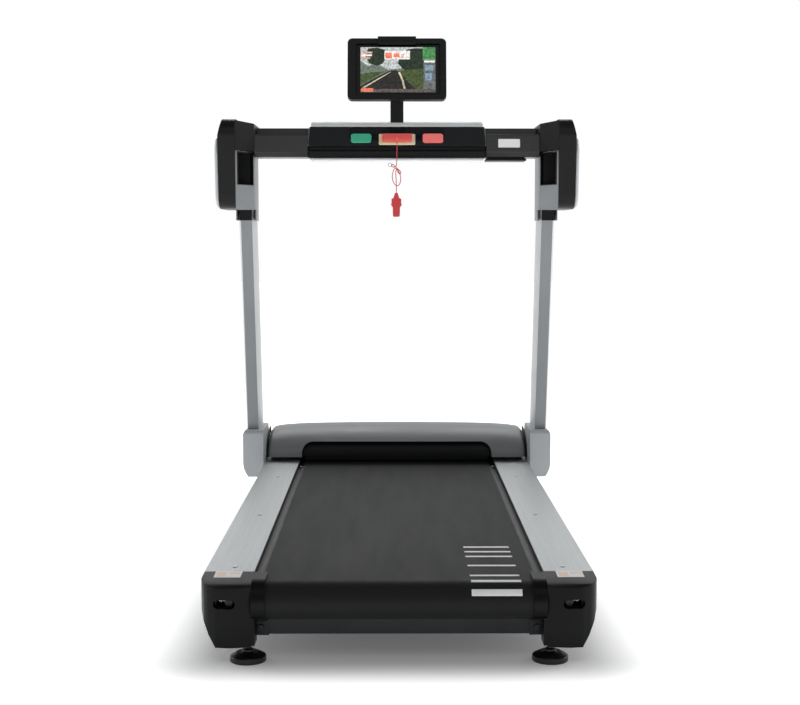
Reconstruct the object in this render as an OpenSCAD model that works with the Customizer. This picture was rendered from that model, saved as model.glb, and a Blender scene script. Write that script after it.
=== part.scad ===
// Motor-driven treadmill with a flat deck, leaning posts and a slim console bar.
// Origin: middle of the footprint, on the floor. +X is the user's right, +Y the front, +Z up.

/* [Overall] */
// Length from the rear caps to the nose of the hood
machine_len = 2000; // [1900:10:2100]
// Height of the foot rails above the floor
rail_top = 172; // [168:1:176]
// Half of the width over both foot rails
rail_outer = 410; // [404:1:410]

/* [Running belt] */
// Width of the belt
belt_w = 570; // [540:2:574]
// Thickness of the belt
belt_t = 2.2; // [1.6:0.1:2.4]
// Radius of the rollers
roller_r = 37.5; // [34:0.5:38]
// Height of the roller axes
roller_z = 126; // [124:0.5:128]
// Rear roller's distance behind the origin
rear_roller_y = -955; // [-956:1:-945]
// Front roller's distance in front of the origin
front_roller_y = 690; // [680:1:692]

/* [Posts] */
// Distance of each post from the middle plane
post_x = 444; // [443:0.5:445]
// Lean of the posts towards the user, in degrees
post_lean = 13; // [12.5:0.1:13.5]
// Where the post's axis crosses the top of its foot cover
post_foot_y = 555; // [552:1:558]
// Wall of the post tube
post_wall = 3; // [2:0.5:4]

/* [Console] */
// Half width of the middle console
console_half = 253; // [240:1:254]
// Slope of the button panel, in degrees
panel_slope = 45; // [45:1:45]
// Length of a start or stop button
button_w = 58; // [40:1:64]
// Height of a start or stop button along the panel
button_h = 37; // [28:1:38]
// Travel of the buttons
button_travel = 2; // [1:0.5:3]

/* [Tablet holder] */
// Backward tilt of the tablet holder, in degrees
holder_tilt = 12; // [8:1:14]
// Width of the tablet
tablet_w = 240; // [200:1:242]
// Height of the tablet
tablet_h = 150; // [130:1:152]

/* [Incline] */
// Distance from the lift pivot to the wheel axle
lift_arm = 381; // [370:1:384]
// Radius of the wheels under the front
wheel_r = 35; // [32:1:36]

/* [Hidden] */
$fn = 64;
tiny = 0.01;

// Colours
black_plastic = [0.06, 0.06, 0.07];
silver_plastic = [0.72, 0.74, 0.75];
steel_black = [0.12, 0.12, 0.13];
steel_bright = [0.75, 0.76, 0.78];
hood_grey = [0.45, 0.46, 0.47];

// Ends of the machine
rear_y = -machine_len / 2;
front_y = machine_len / 2;

// Frame members: the two long box tubes
member_in = 320;
member_out = 380;
member_low = 86;
member_high = 156;
member_wall = 3;
member_rear = rear_y + 25;
member_front = front_y - 15;

// Foot rails
rail_in = 304;
rail_t = 4;
rail_skirt_low = 100;
rail_rear = rear_y + 100;
rail_front = 635;
lip_in = 291;
lip_top = 162;
rail_screw_y = [-860, -300, 260];

// Belt and rollers
belt_gap = 0.3;
belt_in_r = roller_r + belt_gap;
belt_out_r = belt_in_r + belt_t;
belt_top = roller_z + belt_out_r;
roller_half = 293;
axle_r = 10;
bearing_r = 23.5;
bearing_w = 14;
run_fit = 0.05;

// Deck
deck_t = 25;
deck_high = roller_z + belt_in_r;
deck_low = deck_high - deck_t;
deck_half = 290.5;
deck_rear = -880;
deck_front = 610;
cross_high = 124;
cross_low = 98;
cross_y = [-820, -340, 140, 560];

// Motor bay
motor_y = 862;
motor_z = 152;
motor_r = 66;
pulley_in = 296;
pulley_out = 316;
big_pulley_r = 45;
small_pulley_r = 22;
drive_t = 4;
pan_y = 745;
pan_z = 76;
pan_t = 3;
pan_half = 378;

// Hood
hood_half = 405;
hood_t = 3.5;
hood_rear = 550;
hood_low = 184;
crest_y = 700;
crest_z = 273;
nose_z = 150;
hood_hem = 66;
hood_side_y = 658;
cut_half = 298;
cut_top = 230;
cut_corner = 34;

// Bracket covers at the foot of the posts
cover_in = 410.3;
cover_out = 473;
cover_rear = 462;
cover_front = 657;
cover_low = 137;
cover_top = 281;
cover_t = 3.5;

// Post section: a lens with flat ends, and its axis
lens_half = 26;
lens_r = 186.6;
lens_rear = -58.8;
lens_front = 70.9;
post_low_z = 184;
post_high_z = 1100;
function post_y(z) = post_foot_y - (z - cover_top) * tan(post_lean);

// Head: pods, necks and shoulders
pod_in = 458;
pod_out = 506;
pod_dome = 12;
pod_r = 45;
pod_band = 14;
pod_plate = 3;
pod_corners = [[235, 998], [425, 998], [395, 1162], [215, 1162]];
cover_corners = [[235, 998], [425, 998], [403.8, 1114], [220.9, 1114]];
neck_in = 414;
neck_low = 952.5;
neck_high = 1118;
neck_t = 3;
cheek_low = 922;
shoulder_in = 409;
shoulder_top_out = 1203;
shoulder_top_in = 1196;
pocket_low = 1022;
pocket_high = 1116;
pocket_w = 94.5;

// Console bar
beam_y = 296;
beam_front = 334;
beam_low = 1106;
beam_high = 1134;
bar_low = 1102;
tray_gap = 2.5;
panel_y = 258.5;
panel_z = 1162.5;
panel_t = 4;
panel_half_len = 40.3;
button_x = 103;
button_y = -10.6;
button_rise = 3;
button_clear = 0.4;
socket_y = -17;
socket_w = 104;
socket_h = 42;
key_w = 84;
key_h = 30;
key_y = -15;
lug_y = -26;
lug_z = 13;
cover_back_y = 372;

// Tablet holder
holder_y = 292;
holder_z = 1351;
holder_w = 284;
holder_h = 182;
holder_t = 20;
holder_corner = 14;
tablet_shift = 3;
tablet_t = 8;
hinge_back = -16;
stem_half = 19;

// Lanyard: points down the middle of the cord, in hanging order
cord_d = 2.4;
cord_sides = 8;
cord_upper = [
    [0, 229, 1147], [0, 226, 1142], [0, 224, 1134], [0, 223, 1124], [-1, 223, 1112],
    [-1, 223, 1100], [-2, 223, 1090], [-2, 223, 1080]
];
cord_lower = [[-2, 223, 1016], [-2, 223, 1010], [-2, 223, 1004], [-2, 223, 999]];
hank_x = -2;
hank_y = 223;
hank_high = 1080;
hank_low = 1016;
hank_half = 13;
hank_t = 7;
clip_top = 999;

// Incline
pivot_y = 560;
pivot_z = 60;
wheel_z = wheel_r;
wheel_y = pivot_y + sqrt(lift_arm * lift_arm - pow(pivot_z - wheel_z, 2));
lift_angle = asin((pivot_z - wheel_z) / lift_arm);
leg_in = 290;
leg_out = 314;
pin_arm = 165;
pin_y = pivot_y + pin_arm * cos(3);
pin_z = pivot_z - pin_arm * sin(3);
jack_y = 808;
jack_z = 238;
jack_angle = atan((jack_y - pin_y) / (jack_z - pin_z));
jack_len = norm([jack_y - pin_y, jack_z - pin_z]);

// ---------- helpers ----------

// An outline in Y and Z, drawn out from x0 to x1
module along_x(x0, x1) {
    translate([x0, 0, 0]) rotate([90, 0, 90]) linear_extrude(x1 - x0) children();
}

// An outline in X and Z, drawn out from y0 to y1
module along_y(y0, y1) {
    translate([0, y1, 0]) rotate([90, 0, 0]) linear_extrude(y1 - y0) children();
}

module box(low, high) {
    translate(low) cube([high[0] - low[0], high[1] - low[1], high[2] - low[2]]);
}

module rod_x(x0, x1, y, z, r) {
    translate([x0, y, z]) rotate([0, 90, 0]) cylinder(h = x1 - x0, r = r);
}

module rod_y(y0, y1, x, z, r) {
    translate([x, y0, z]) rotate([-90, 0, 0]) cylinder(h = y1 - y0, r = r);
}

module rod_z(z0, z1, x, y, r) {
    translate([x, y, z0]) cylinder(h = z1 - z0, r = r);
}

module both_sides() {
    children();
    mirror([1, 0, 0]) children();
}

module left_side() {
    mirror([1, 0, 0]) children();
}

// Points of an ellipse arc
function arc(cx, cy, rx, ry, from, to, n) =
    [for (i = [0:n]) let (a = from + (to - from) * i / n) [cx + rx * cos(a), cy + ry * sin(a)]];

// A rectangle with round corners
module round_rect(x0, y0, x1, y1, r) {
    translate([x0 + r, y0]) square([x1 - x0 - 2 * r, y1 - y0]);
    translate([x0, y0 + r]) square([x1 - x0, y1 - y0 - 2 * r]);
    for (x = [x0 + r, x1 - r], y = [y0 + r, y1 - r]) translate([x, y]) circle(r = r);
}

// A convex outline grown by r, with its corners round; its points run anticlockwise
function normal_angle(a, b) = atan2(a[0] - b[0], b[1] - a[1]);
function turn(a, b, c) = (normal_angle(b, c) - normal_angle(a, b) + 720) % 360;
function rounded(points, r, n) = let (count = len(points)) [
    for (i = [0:count - 1])
        let (a = points[(i + count - 1) % count], b = points[i], c = points[(i + 1) % count])
        for (k = [0:n])
            let (angle = normal_angle(a, b) + turn(a, b, c) * k / n)
            b + r * [cos(angle), sin(angle)]
];

module round_outline(points, r) {
    polygon(rounded(points, r, 14));
}

// Tube through a list of points, as one closed solid
function unit(v) = v / norm(v);
function heading(path, i) = unit(path[min(i + 1, len(path) - 1)] - path[max(i - 1, 0)]);
function ring(path, i, r, sides) =
    let (t = heading(path, i), s = unit(cross(t, [0, 1, 0])), u = cross(s, t))
    [for (k = [0:sides - 1]) path[i] + r * (cos(360 * k / sides) * s + sin(360 * k / sides) * u)];

module tube(path, r, sides) {
    count = len(path);
    points = [for (i = [0:count - 1]) each ring(path, i, r, sides)];
    skin = [for (i = [0:count - 2], k = [0:sides - 1]) let (n = (k + 1) % sides)
        [i * sides + k, i * sides + n, (i + 1) * sides + n, (i + 1) * sides + k]];
    low_end = [for (k = [sides - 1:-1:0]) k];
    high_end = [for (k = [0:sides - 1]) (count - 1) * sides + k];
    polyhedron(points = points, faces = concat([low_end], skin, [high_end]));
}

// Belt loop round two rollers, grown outwards by r beyond their axes
module loop_outline(r) {
    translate([rear_roller_y, roller_z]) circle(r = r);
    translate([front_roller_y, roller_z]) circle(r = r);
    translate([rear_roller_y, roller_z - r]) square([front_roller_y - rear_roller_y, 2 * r]);
}

// Section of a post, grown by g
module lens(g) {
    intersection() {
        translate([lens_half - lens_r, 0]) circle(r = lens_r + g, $fn = 180);
        translate([lens_r - lens_half, 0]) circle(r = lens_r + g, $fn = 180);
        translate([-50, lens_rear - g]) square([100, lens_front - lens_rear + 2 * g]);
    }
}

// The post's lens, grown by g, between two heights
module post_solid(g, z0, z1) {
    translate([post_x, post_y(z0), z0]) rotate([post_lean, 0, 0])
        linear_extrude((z1 - z0) / cos(post_lean)) lens(g);
}

// A straight-sided slot round the post, between two heights
module post_slot(g, z0, z1) {
    translate([post_x, post_y(z0), z0]) rotate([post_lean, 0, 0])
        translate([-lens_half - g, lens_rear - g, 0])
            cube([2 * lens_half + 2 * g, lens_front - lens_rear + 2 * g, (z1 - z0) / cos(post_lean)]);
}

// Places children on the button panel: x across, y up the slope, z out of it
module on_panel() {
    translate([0, panel_y, panel_z]) rotate([panel_slope, 0, 0]) children();
}

// Places children on the tablet holder: x across, y up, z towards the user
module on_holder() {
    translate([0, holder_y, holder_z]) rotate([90 - holder_tilt, 0, 0]) children();
}

// Places children on the incline actuator: z points up its screw, from the upper pin
module on_jack() {
    translate([0, jack_y, jack_z]) rotate([-jack_angle, 0, 0]) children();
}

// ---------- base ----------

module frame_member() {
    slot_len = 30;
    plate_in = 326;
    difference() {
        union() {
            box([member_in, member_rear, member_low], [member_out, member_front, member_high]);
            // ears that carry the lift pivot
            box([plate_in - 4, pivot_y - 18, pivot_z - 16], [plate_in + 4, pivot_y + 18, member_low + 1]);
            // block that carries the post, and the stub inside it
            box([member_out - 1, 500, 146], [post_x + 10, 640, 166]);
            post_solid(-post_wall - 0.4, 165, 245);
            // arm that carries the levelling foot
            box([301, -985, 62], [336, -943, 70]);
            box([327, -975, 69], [336, -943, member_low + 1]);
        }
        box([member_in + member_wall, member_rear + 6, member_low + member_wall],
            [member_out - member_wall, member_front + 1, member_high - member_wall]);
        box([post_x - 40, 510, 100], [post_x + 40, 680, 146]);
        // screws of the foot rail
        for (y = rail_screw_y) rod_z(member_high - 5, member_high + 1, 350, y, 3);
        // slot for the rear axle
        for (y = [rear_roller_y - slot_len / 2, rear_roller_y + slot_len / 2])
            rod_x(member_in - 1, member_out - member_wall - 1, y, roller_z, axle_r + 0.2);
        box([member_in - 1, rear_roller_y - slot_len / 2, roller_z - axle_r - 0.2],
            [member_out - member_wall - 1, rear_roller_y + slot_len / 2, roller_z + axle_r + 0.2]);
        // bore for the front axle
        rod_x(member_in - 1, member_in + member_wall + 1, front_roller_y, roller_z, axle_r + run_fit);
        rod_x(plate_in - 5, plate_in + 5, pivot_y, pivot_z, 8 + run_fit);
        rod_z(61, 71, 313, -964, 6 + run_fit);
        rod_y(member_rear - 1, member_rear + 7, 350, roller_z, 5.2);
    }
}

module frame_members() {
    color(steel_black) both_sides() frame_member();
}

module rear_crossmember() {
    y0 = -936;
    y1 = -900;
    low = 48;
    high = 83;
    color(steel_black) {
        difference() {
            box([-314, y0, low], [314, y1, high]);
            box([-320, y0 + 2.5, low + 2.5], [320, y1 - 2.5, high - 2.5]);
            both_sides() rod_y(y0 - 1, y0 + 4, 288, 63, 4.2);
        }
        // hangers up to the frame members
        both_sides() box([314, y0, low], [member_in, y1, 150]);
        // bolted end tabs on the rear face
        both_sides() difference() {
            box([272, y0 - 3, 46], [303, y0, 79]);
            rod_y(y0 - 5, y0 + 4, 288, 63, 4.2);
        }
    }
}

module crossmembers() {
    color(steel_black) {
        for (y = cross_y) difference() {
            box([-member_in, y - 20, cross_low], [member_in, y + 20, cross_high]);
            box([-member_in - 1, y - 17.5, cross_low + 2.5], [member_in + 1, y + 17.5, cross_high - 2.5]);
            for (x = [-278, 278]) rod_z(cross_high - 4, cross_high + 1, x, y, 4);
        }
        difference() {
            box([-member_in, 945, 92], [member_in, 965, 132]);
            box([-member_in - 1, 947.5, 94.5], [member_in + 1, 962.5, 129.5]);
        }
    }
}

module running_deck() {
    color([0.07, 0.07, 0.075]) difference() {
        box([-deck_half, deck_rear, deck_low], [deck_half, deck_front, deck_high]);
        for (x = [-278, 278], y = cross_y) rod_z(deck_low - 1, deck_high + 1, x, y, 4);
    }
}

module deck_cushions() {
    color([0.1, 0.1, 0.1]) for (x = [-250, 250], y = cross_y) difference() {
        rod_z(cross_high, deck_low, x, y, 18);
        rod_z(cross_high + 3, deck_low + 1, x, y, 6);
    }
}

module running_belt() {
    color([0.1, 0.1, 0.11]) along_x(-belt_w / 2, belt_w / 2) difference() {
        loop_outline(belt_out_r);
        loop_outline(belt_in_r);
    }
}

// A roller tube with two solid hubs bored for its bearings
module roller(y) {
    difference() {
        rod_x(-roller_half, roller_half, y, roller_z, roller_r);
        rod_x(-roller_half + 22, roller_half - 22, y, roller_z, roller_r - 4);
        rod_x(-roller_half - 1, roller_half + 1, y, roller_z, axle_r + 6);
        both_sides() rod_x(roller_half - bearing_w, roller_half + 1, y, roller_z, bearing_r);
    }
}

module bearing(x0, y) {
    difference() {
        rod_x(x0, x0 + bearing_w, y, roller_z, bearing_r);
        rod_x(x0 - 1, x0 + bearing_w + 1, y, roller_z, axle_r + run_fit);
        // grooves between the two rings and the seal
        for (x = [x0 - tiny, x0 + bearing_w - 1]) difference() {
            rod_x(x, x + 1 + tiny, y, roller_z, 19.5);
            rod_x(x - 1, x + 3, y, roller_z, 14);
        }
    }
}

module bearing_pair(y) {
    color(steel_bright) for (x = [-roller_half, roller_half - bearing_w]) bearing(x, y);
}

module rear_roller() {
    color(steel_bright) roller(rear_roller_y);
}

// Fixed axles; the rear one is drilled across for the tension bolts
module roller_axles() {
    color(steel_bright) difference() {
        rod_x(-372, 372, rear_roller_y, roller_z, axle_r);
        both_sides() rod_y(rear_roller_y - 12, rear_roller_y + 12, 350, roller_z, 5.2);
    }
    color(steel_bright) rod_x(-member_in - member_wall, member_in + member_wall,
        front_roller_y, roller_z, axle_r - 0.05);
}

module rear_bearings() {
    bearing_pair(rear_roller_y);
}

// The drive pulley is pressed on the left end of the front roller
module front_roller() {
    color(steel_bright) {
        difference() {
            union() {
                roller(front_roller_y);
                rod_x(-pulley_in, -roller_half, front_roller_y, roller_z, roller_r - 2);
                rod_x(-pulley_out, -pulley_in, front_roller_y, roller_z, big_pulley_r);
                for (x = [-pulley_out, -pulley_in - 1.5])
                    rod_x(x, x + 1.5, front_roller_y, roller_z, big_pulley_r + 3);
            }
            rod_x(-pulley_out - 1, -roller_half + tiny, front_roller_y, roller_z, axle_r + 4);
        }
    }
}

module front_bearings() {
    bearing_pair(front_roller_y);
}

// Outline of the drive belt: two pulleys and the straight runs between them
module drive_outline(r_big, r_small) {
    a = [front_roller_y, roller_z];
    b = [motor_y, motor_z];
    span = norm(b - a);
    tilt = atan2(b[1] - a[1], b[0] - a[0]);
    wrap = acos((r_big - r_small) / span);
    translate(a) circle(r = r_big);
    translate(b) circle(r = r_small);
    polygon([
        a + r_big * [cos(tilt + wrap), sin(tilt + wrap)],
        a, a + r_big * [cos(tilt - wrap), sin(tilt - wrap)],
        b + r_small * [cos(tilt - wrap), sin(tilt - wrap)],
        b, b + r_small * [cos(tilt + wrap), sin(tilt + wrap)]
    ]);
}

module drive_belt() {
    color([0.08, 0.08, 0.08]) along_x(-pulley_out + 2, -pulley_in - 2) difference() {
        drive_outline(big_pulley_r + belt_gap + drive_t, small_pulley_r + belt_gap + drive_t);
        drive_outline(big_pulley_r + belt_gap, small_pulley_r + belt_gap);
    }
}

module drive_motor() {
    x0 = -262;
    x1 = -48;
    color([0.2, 0.21, 0.22]) difference() {
        union() {
            rod_x(x0, x1, motor_y, motor_z, motor_r - 3);
            for (x = [x0, x1 - 18]) rod_x(x, x + 18, motor_y, motor_z, motor_r);
            // cooling fins along the barrel
            for (i = [0:11]) translate([x0 + 22, motor_y, motor_z]) rotate([30 * i + 15, 0, 0])
                translate([0, -1.5, motor_r - 5]) cube([x1 - x0 - 44, 3, 5]);
            // feet on the base pan
            for (x = [x0 + 20, x1 - 50]) box([x, motor_y - 44, pan_z + pan_t], [x + 30, motor_y + 44, 104]);
            // terminal box
            box([-190, motor_y - 30, motor_z + 58], [-120, motor_y + 30, motor_z + 86]);
        }
        rod_x(x0 - 1, x0 + 58, motor_y, motor_z, 10 + run_fit);
        for (x = [x0 + 20, x1 - 50], y = [motor_y - 36, motor_y + 36])
            rod_z(pan_z, 98, x + 15, y, 4);
    }
}

module motor_flywheel() {
    color(steel_bright) {
        difference() {
            union() {
                rod_x(-pulley_out, -210, motor_y, motor_z, 10);
                rod_x(-290, -268, motor_y, motor_z, 68);
                rod_x(-pulley_out, -pulley_in, motor_y, motor_z, small_pulley_r);
                for (x = [-pulley_out, -pulley_in - 1.5])
                    rod_x(x, x + 1.5, motor_y, motor_z, small_pulley_r + 3);
                rod_x(-pulley_in, -290, motor_y, motor_z, 16);
            }
            for (i = [0:5]) translate([-291, motor_y, motor_z]) rotate([60 * i, 0, 0])
                translate([0, 0, 43]) rotate([0, 90, 0]) cylinder(h = 24, r = 10);
        }
    }
}

module motor_controller() {
    color([0.3, 0.31, 0.33]) {
        difference() {
            box([80, 830, pan_z + pan_t], [300, 940, 150]);
            // heat sink slots in the top
            for (i = [0:12]) box([92 + 16 * i, 836, 128], [100 + 16 * i, 934, 151]);
        }
    }
}

// Sheet pan under the motor bay, with the tower that carries the actuator
module base_pan() {
    color(steel_black) {
        difference() {
            union() {
                box([-pan_half, pan_y, pan_z], [pan_half, 984, pan_z + pan_t]);
                both_sides() box([pan_half - 34, pan_y, pan_z + pan_t - 1], [pan_half, 984, member_low]);
                both_sides() box([34, jack_y - 28, pan_z + 1], [39, jack_y + 24, 252]);
                both_sides() box([34, jack_y - 28, pan_z + 1], [39, 866, 130]);
                box([-39, 861, pan_z + 1], [39, 866, 130]);
            }
            // opening for the actuator's screw
            box([-33, pan_y - 1, pan_z - 1], [33, 840, pan_z + pan_t + 1]);
            rod_x(-40, 40, jack_y, jack_z, 6 + run_fit);
        }
    }
}

// Side view of the hood, its skin set in by t
function hood_outline(t) = concat(
    [[front_y - t, hood_hem - 1], [front_y - t, nose_z]],
    arc(crest_y, nose_z, front_y - crest_y - t, crest_z - nose_z - t, 0, 90, 16),
    arc(crest_y, hood_low, crest_y - hood_rear - t, crest_z - hood_low - t, 96, 180, 12)
);

module motor_hood() {
    color(hood_grey) difference() {
        along_x(-hood_half, hood_half) polygon(concat(hood_outline(0), [[hood_rear, hood_hem - 1]]));
        along_x(-hood_half + hood_t, hood_half - hood_t)
            polygon(concat(hood_outline(hood_t), [[hood_rear - 1, hood_low], [hood_rear - 1, hood_hem - 2]]));
        // clear of the rails and the bracket covers
        box([-500, hood_rear - 5, 0], [500, hood_side_y, hood_low]);
        box([-500, hood_rear - 5, 0], [500, front_y + 5, hood_hem]);
        // cut-out over the belt
        along_y(hood_rear - 5, crest_y - 40) {
            round_rect(-cut_half, 140, cut_half, cut_top, cut_corner);
        }
        // panel opening for the inlet and the switch
        along_y(front_y - 10, front_y + 5) round_rect(226, 94, 316, 126, 1.5);
    }
}

// Black panel behind the cut-out, a little above the belt
module hood_skirt() {
    reach = crest_y - hood_rear - 22;
    rise = crest_z - hood_low - 9;
    outer = arc(crest_y, hood_low, reach, rise, 140, 180, 8);
    inner = arc(crest_y, hood_low, reach - 3, rise - 3, 180, 140, 8);
    color(black_plastic) {
        along_x(-cut_half - 12, cut_half + 12)
            polygon(concat([[outer[0][0], 245]], outer, inner, [[outer[0][0] + 3, 245]]));
        // lower lip over the belt, between the foot rails
        along_x(-286, 286) polygon([
            [crest_y - reach, hood_low + 1], [crest_y - reach, 172], [crest_y - reach + 3, 169],
            [crest_y - reach + 14, 169], [crest_y - reach + 14, 171.5],
            [crest_y - reach + 4, 172.5], [crest_y - reach + 3, hood_low + 1]
        ]);
    }
}

// Right-hand foot rail: top plate, outer skirt, inner step with its lip, and two legs
module foot_rail() {
    color(steel_bright) difference() {
        along_y(rail_rear, rail_front) {
            translate([rail_in, rail_top - rail_t]) square([rail_outer - rail_in, rail_t]);
            translate([rail_outer - 3.5, rail_skirt_low]) square([3.5, rail_top - rail_skirt_low]);
            translate([rail_in, member_high]) square([3, rail_top - member_high]);
            translate([lip_in, member_high]) square([rail_in - lip_in + 1, 2]);
            translate([lip_in, member_high]) square([3, lip_top - member_high]);
            for (x = [member_in + 2, member_out - 5])
                translate([x, member_high]) square([3, rail_top - member_high - 1]);
        }
        // clear of the block that carries the post
        box([rail_outer - 10, 494, 136], [rail_outer + 5, rail_front + 5, rail_top - rail_t]);
        // screws down into the frame member
        for (y = rail_screw_y) rod_z(150, 200, 350, y, 3);
    }
}

module foot_rails() { both_sides() foot_rail(); }

// Plan outline of an end cap, set in by t
function cap_plan(t) = [
    [rail_in + t, rail_rear], [rail_outer - t, rail_rear], [rail_outer - t, rail_rear - 52],
    [rail_outer - 2 - t, rail_rear - 66], [rail_outer - 8 - t, rail_rear - 78 + t / 2],
    [rail_outer - 18 - t, rail_rear - 88 + t], [rail_outer - 34, rail_rear - 96 + t],
    [rail_outer - 60, rail_rear - 100 + t], [rail_outer - 84, rail_rear - 97 + t],
    [rail_in + t, rail_rear - 91 + t]
];

// Rear view outline of an end cap, set in by t
function cap_face(t) = [
    [rail_in + t, 36 - t / 4], [377 - t, 36 - t / 4], [391 - t, 60], [403 - t, 88],
    [rail_outer - t, 118], [rail_outer - t, rail_top - t], [rail_in + t, rail_top - t]
];

// Side view outline of an end cap, set in by t: its top falls away to the rear
function cap_side(t) = [
    [rail_rear, 20], [rail_rear, rail_top - t], [rail_rear - 50, rail_top - 1.5 - t],
    [rail_rear - 84, rail_top - 6 - t], [rail_rear - 96 + t, rail_top - 12 - t],
    [rail_rear - 100 + t, rail_top - 22 - t], [rail_rear - 100 + t, 20]
];

module cap_solid(t) {
    intersection() {
        translate([0, 0, 20]) linear_extrude(rail_top) polygon(cap_plan(t));
        along_y(rail_rear - 110, rail_rear) polygon(cap_face(t));
        along_x(rail_in - 10, rail_outer + 10) polygon(cap_side(t));
    }
}

module end_cap() {
    guard_r = belt_out_r + 5;
    color(black_plastic) {
        difference() {
            cap_solid(0);
            cap_solid(3.2);
            box([rail_in - 1, -990, 20], [rail_in + 4, rail_rear + 1, 158]);
            // slot that shows the tension bolt
            along_y(rear_y - 5, rear_y + 20) round_rect(336, roller_z - 9, 381, roller_z + 9, 8.9);
        }
        // inner side of the cap, beside the levelling foot
        box([297, -991, 38], [rail_in + 1, -987.5, 96]);
        box([297, -990, 38], [300.5, -940, 96]);
        // curved guard round the edge of the belt
        intersection() {
            difference() {
                union() {
                    rod_x(276, rail_in, rear_roller_y, roller_z, guard_r);
                    box([276, rear_roller_y, roller_z], [rail_in, rail_rear, rail_top - 1]);
                }
                rod_x(270, rail_in + 1, rear_roller_y, roller_z, guard_r - 3);
                box([270, rear_roller_y, 60], [rail_in + 1, rail_rear + 1, roller_z + guard_r - 3]);
            }
            box([270, -1010, 60], [rail_in, rail_rear, rail_top + 4]);
        }
    }
}

module end_caps() { both_sides() end_cap(); }

// Levelling foot: rubber pad, steel cup and stud
module rear_foot() {
    color([0.09, 0.09, 0.09]) {
        rod_z(0, 12, 313, -964, 37.5);
        translate([313, -964, 12]) cylinder(h = 8, r1 = 37.5, r2 = 22);
        rod_z(19, 26, 313, -964, 12);
        rod_z(25, 77, 313, -964, 6);
    }
}

module rear_foot_left() { left_side() rear_foot(); }
module rear_foot_right() { rear_foot(); }

module hex_head(r, h) { cylinder(h = h, r = r, $fn = 6); }

// Tension bolts, foot lock nuts, crossmember bolts and rail screws
module fasteners() {
    color(steel_bright) both_sides() {
        translate([350, member_rear - 7, roller_z]) rotate([-90, 0, 0]) hex_head(8.5, 7);
        rod_y(member_rear, rear_roller_y + 24, 350, roller_z, 5);
        difference() {
            translate([313, -964, 53]) hex_head(11, 9);
            rod_z(50, 64, 313, -964, 6 + run_fit);
        }
        translate([288, -944, 63]) rotate([-90, 0, 0]) hex_head(7, 5);
        rod_y(-939, -932, 288, 63, 4);
        for (y = rail_screw_y) {
            rod_z(member_high - member_wall, rail_top, 350, y, 2.8);
            rod_z(rail_top, rail_top + 1.6, 350, y, 5.5);
        }
        for (y = cross_y) rod_z(cross_high - 6, deck_high - 1, 278, y, 3.8);
    }
}

// ---------- posts ----------

// Right-hand cover at the foot of a post: a shell open below and towards the rail
module bracket_cover() {
    color(silver_plastic) difference() {
        intersection() {
            along_y(cover_rear, cover_front) polygon([
                [cover_in, cover_low], [cover_out - 15, cover_low], [cover_out - 8, cover_low + 12],
                [cover_out - 2, cover_low + 26], [cover_out, cover_low + 40],
                [cover_out, cover_top - 12], [cover_out - 4, cover_top - 3],
                [cover_out - 12, cover_top], [cover_in, cover_top]
            ]);
            along_x(cover_in - 1, cover_out + 1)
                round_rect(cover_rear, cover_low - 30, cover_front, cover_top, 12);
        }
        along_y(cover_rear + cover_t, cover_front - cover_t) polygon([
            [cover_in + cover_t, cover_low - 1], [cover_out - 19, cover_low - 1],
            [cover_out - 12, cover_low + 12], [cover_out - 6, cover_low + 26],
            [cover_out - cover_t, cover_low + 40], [cover_out - cover_t, cover_top - 14],
            [cover_out - 14, cover_top - cover_t], [cover_in + cover_t, cover_top - cover_t]
        ]);
        box([cover_in - 1, cover_rear + cover_t, 100], [cover_in + 6, cover_front - cover_t, rail_top + 1]);
        post_solid(0.6, cover_low, cover_top + 40);
    }
}

module bracket_covers() { both_sides() bracket_cover(); }

module post() {
    color([0.68, 0.7, 0.71]) difference() {
        post_solid(0, post_low_z + 1, post_high_z);
        post_solid(-post_wall, post_low_z - 20, post_high_z + 20);
    }
}

module post_left() { left_side() post(); }
module post_right() { post(); }

// Plan of the neck: a rear face that slants from the pod's rim in to the post
function neck_plan(t) = [
    [pod_in - 0.3, 192 + 1.9 * t], [pod_in - 0.3, 484 - t],
    [neck_in + 6.5 + t, 484 - t], [neck_in + t, 400], [neck_in + t, 290 + 0.6 * t]
];

// Places children on the neck's slanted face: x across it, y up, z out of it
module on_neck_face() {
    slant = atan2(290 - 192, pod_in - neck_in);
    translate([(pod_in + neck_in) / 2, 241, (pocket_low + pocket_high) / 2])
        rotate([90, 0, -slant]) children();
}

module neck_housing() {
    color(silver_plastic) {
        difference() {
            translate([0, 0, neck_low]) linear_extrude(neck_high - neck_low) polygon(neck_plan(0));
            translate([0, 0, neck_low - 1]) linear_extrude(neck_high - neck_low + 2)
                polygon(concat([[pod_in + 5, 192 + 1.9 * neck_t], [pod_in + 5, 484 - neck_t]],
                    [for (i = [2, 3, 4]) neck_plan(neck_t)[i]]));
            on_neck_face() translate([-49.5, -(pocket_high - pocket_low) / 2, -10])
                cube([pocket_w, pocket_high - pocket_low, 30]);
            box([neck_in - 1, beam_y - 0.5, beam_low - 0.5], [neck_in + 4, beam_front + 0.5, neck_high + 1]);
        }
        // floor behind the slanted face
        difference() {
            translate([0, 0, neck_low]) linear_extrude(neck_t) polygon(neck_plan(0.5));
            box([neck_in + neck_t, 338, neck_low - 1], [pod_in + 1, 482, neck_low + 5]);
        }
        // cheeks and front below the neck, open to the rear
        difference() {
            translate([0, 0, cheek_low]) linear_extrude(neck_low - cheek_low) polygon([
                [neck_in, 345], [neck_in, 400], [neck_in + 6.5, 484], [474, 484], [474, 345]
            ]);
            translate([0, 0, cheek_low - 1]) linear_extrude(neck_low - cheek_low + 2) polygon([
                [neck_in + neck_t, 340], [neck_in + neck_t, 400], [neck_in + 6.3 + neck_t, 481],
                [474 - neck_t, 481], [474 - neck_t, 340]
            ]);
        }
    }
}

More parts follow.
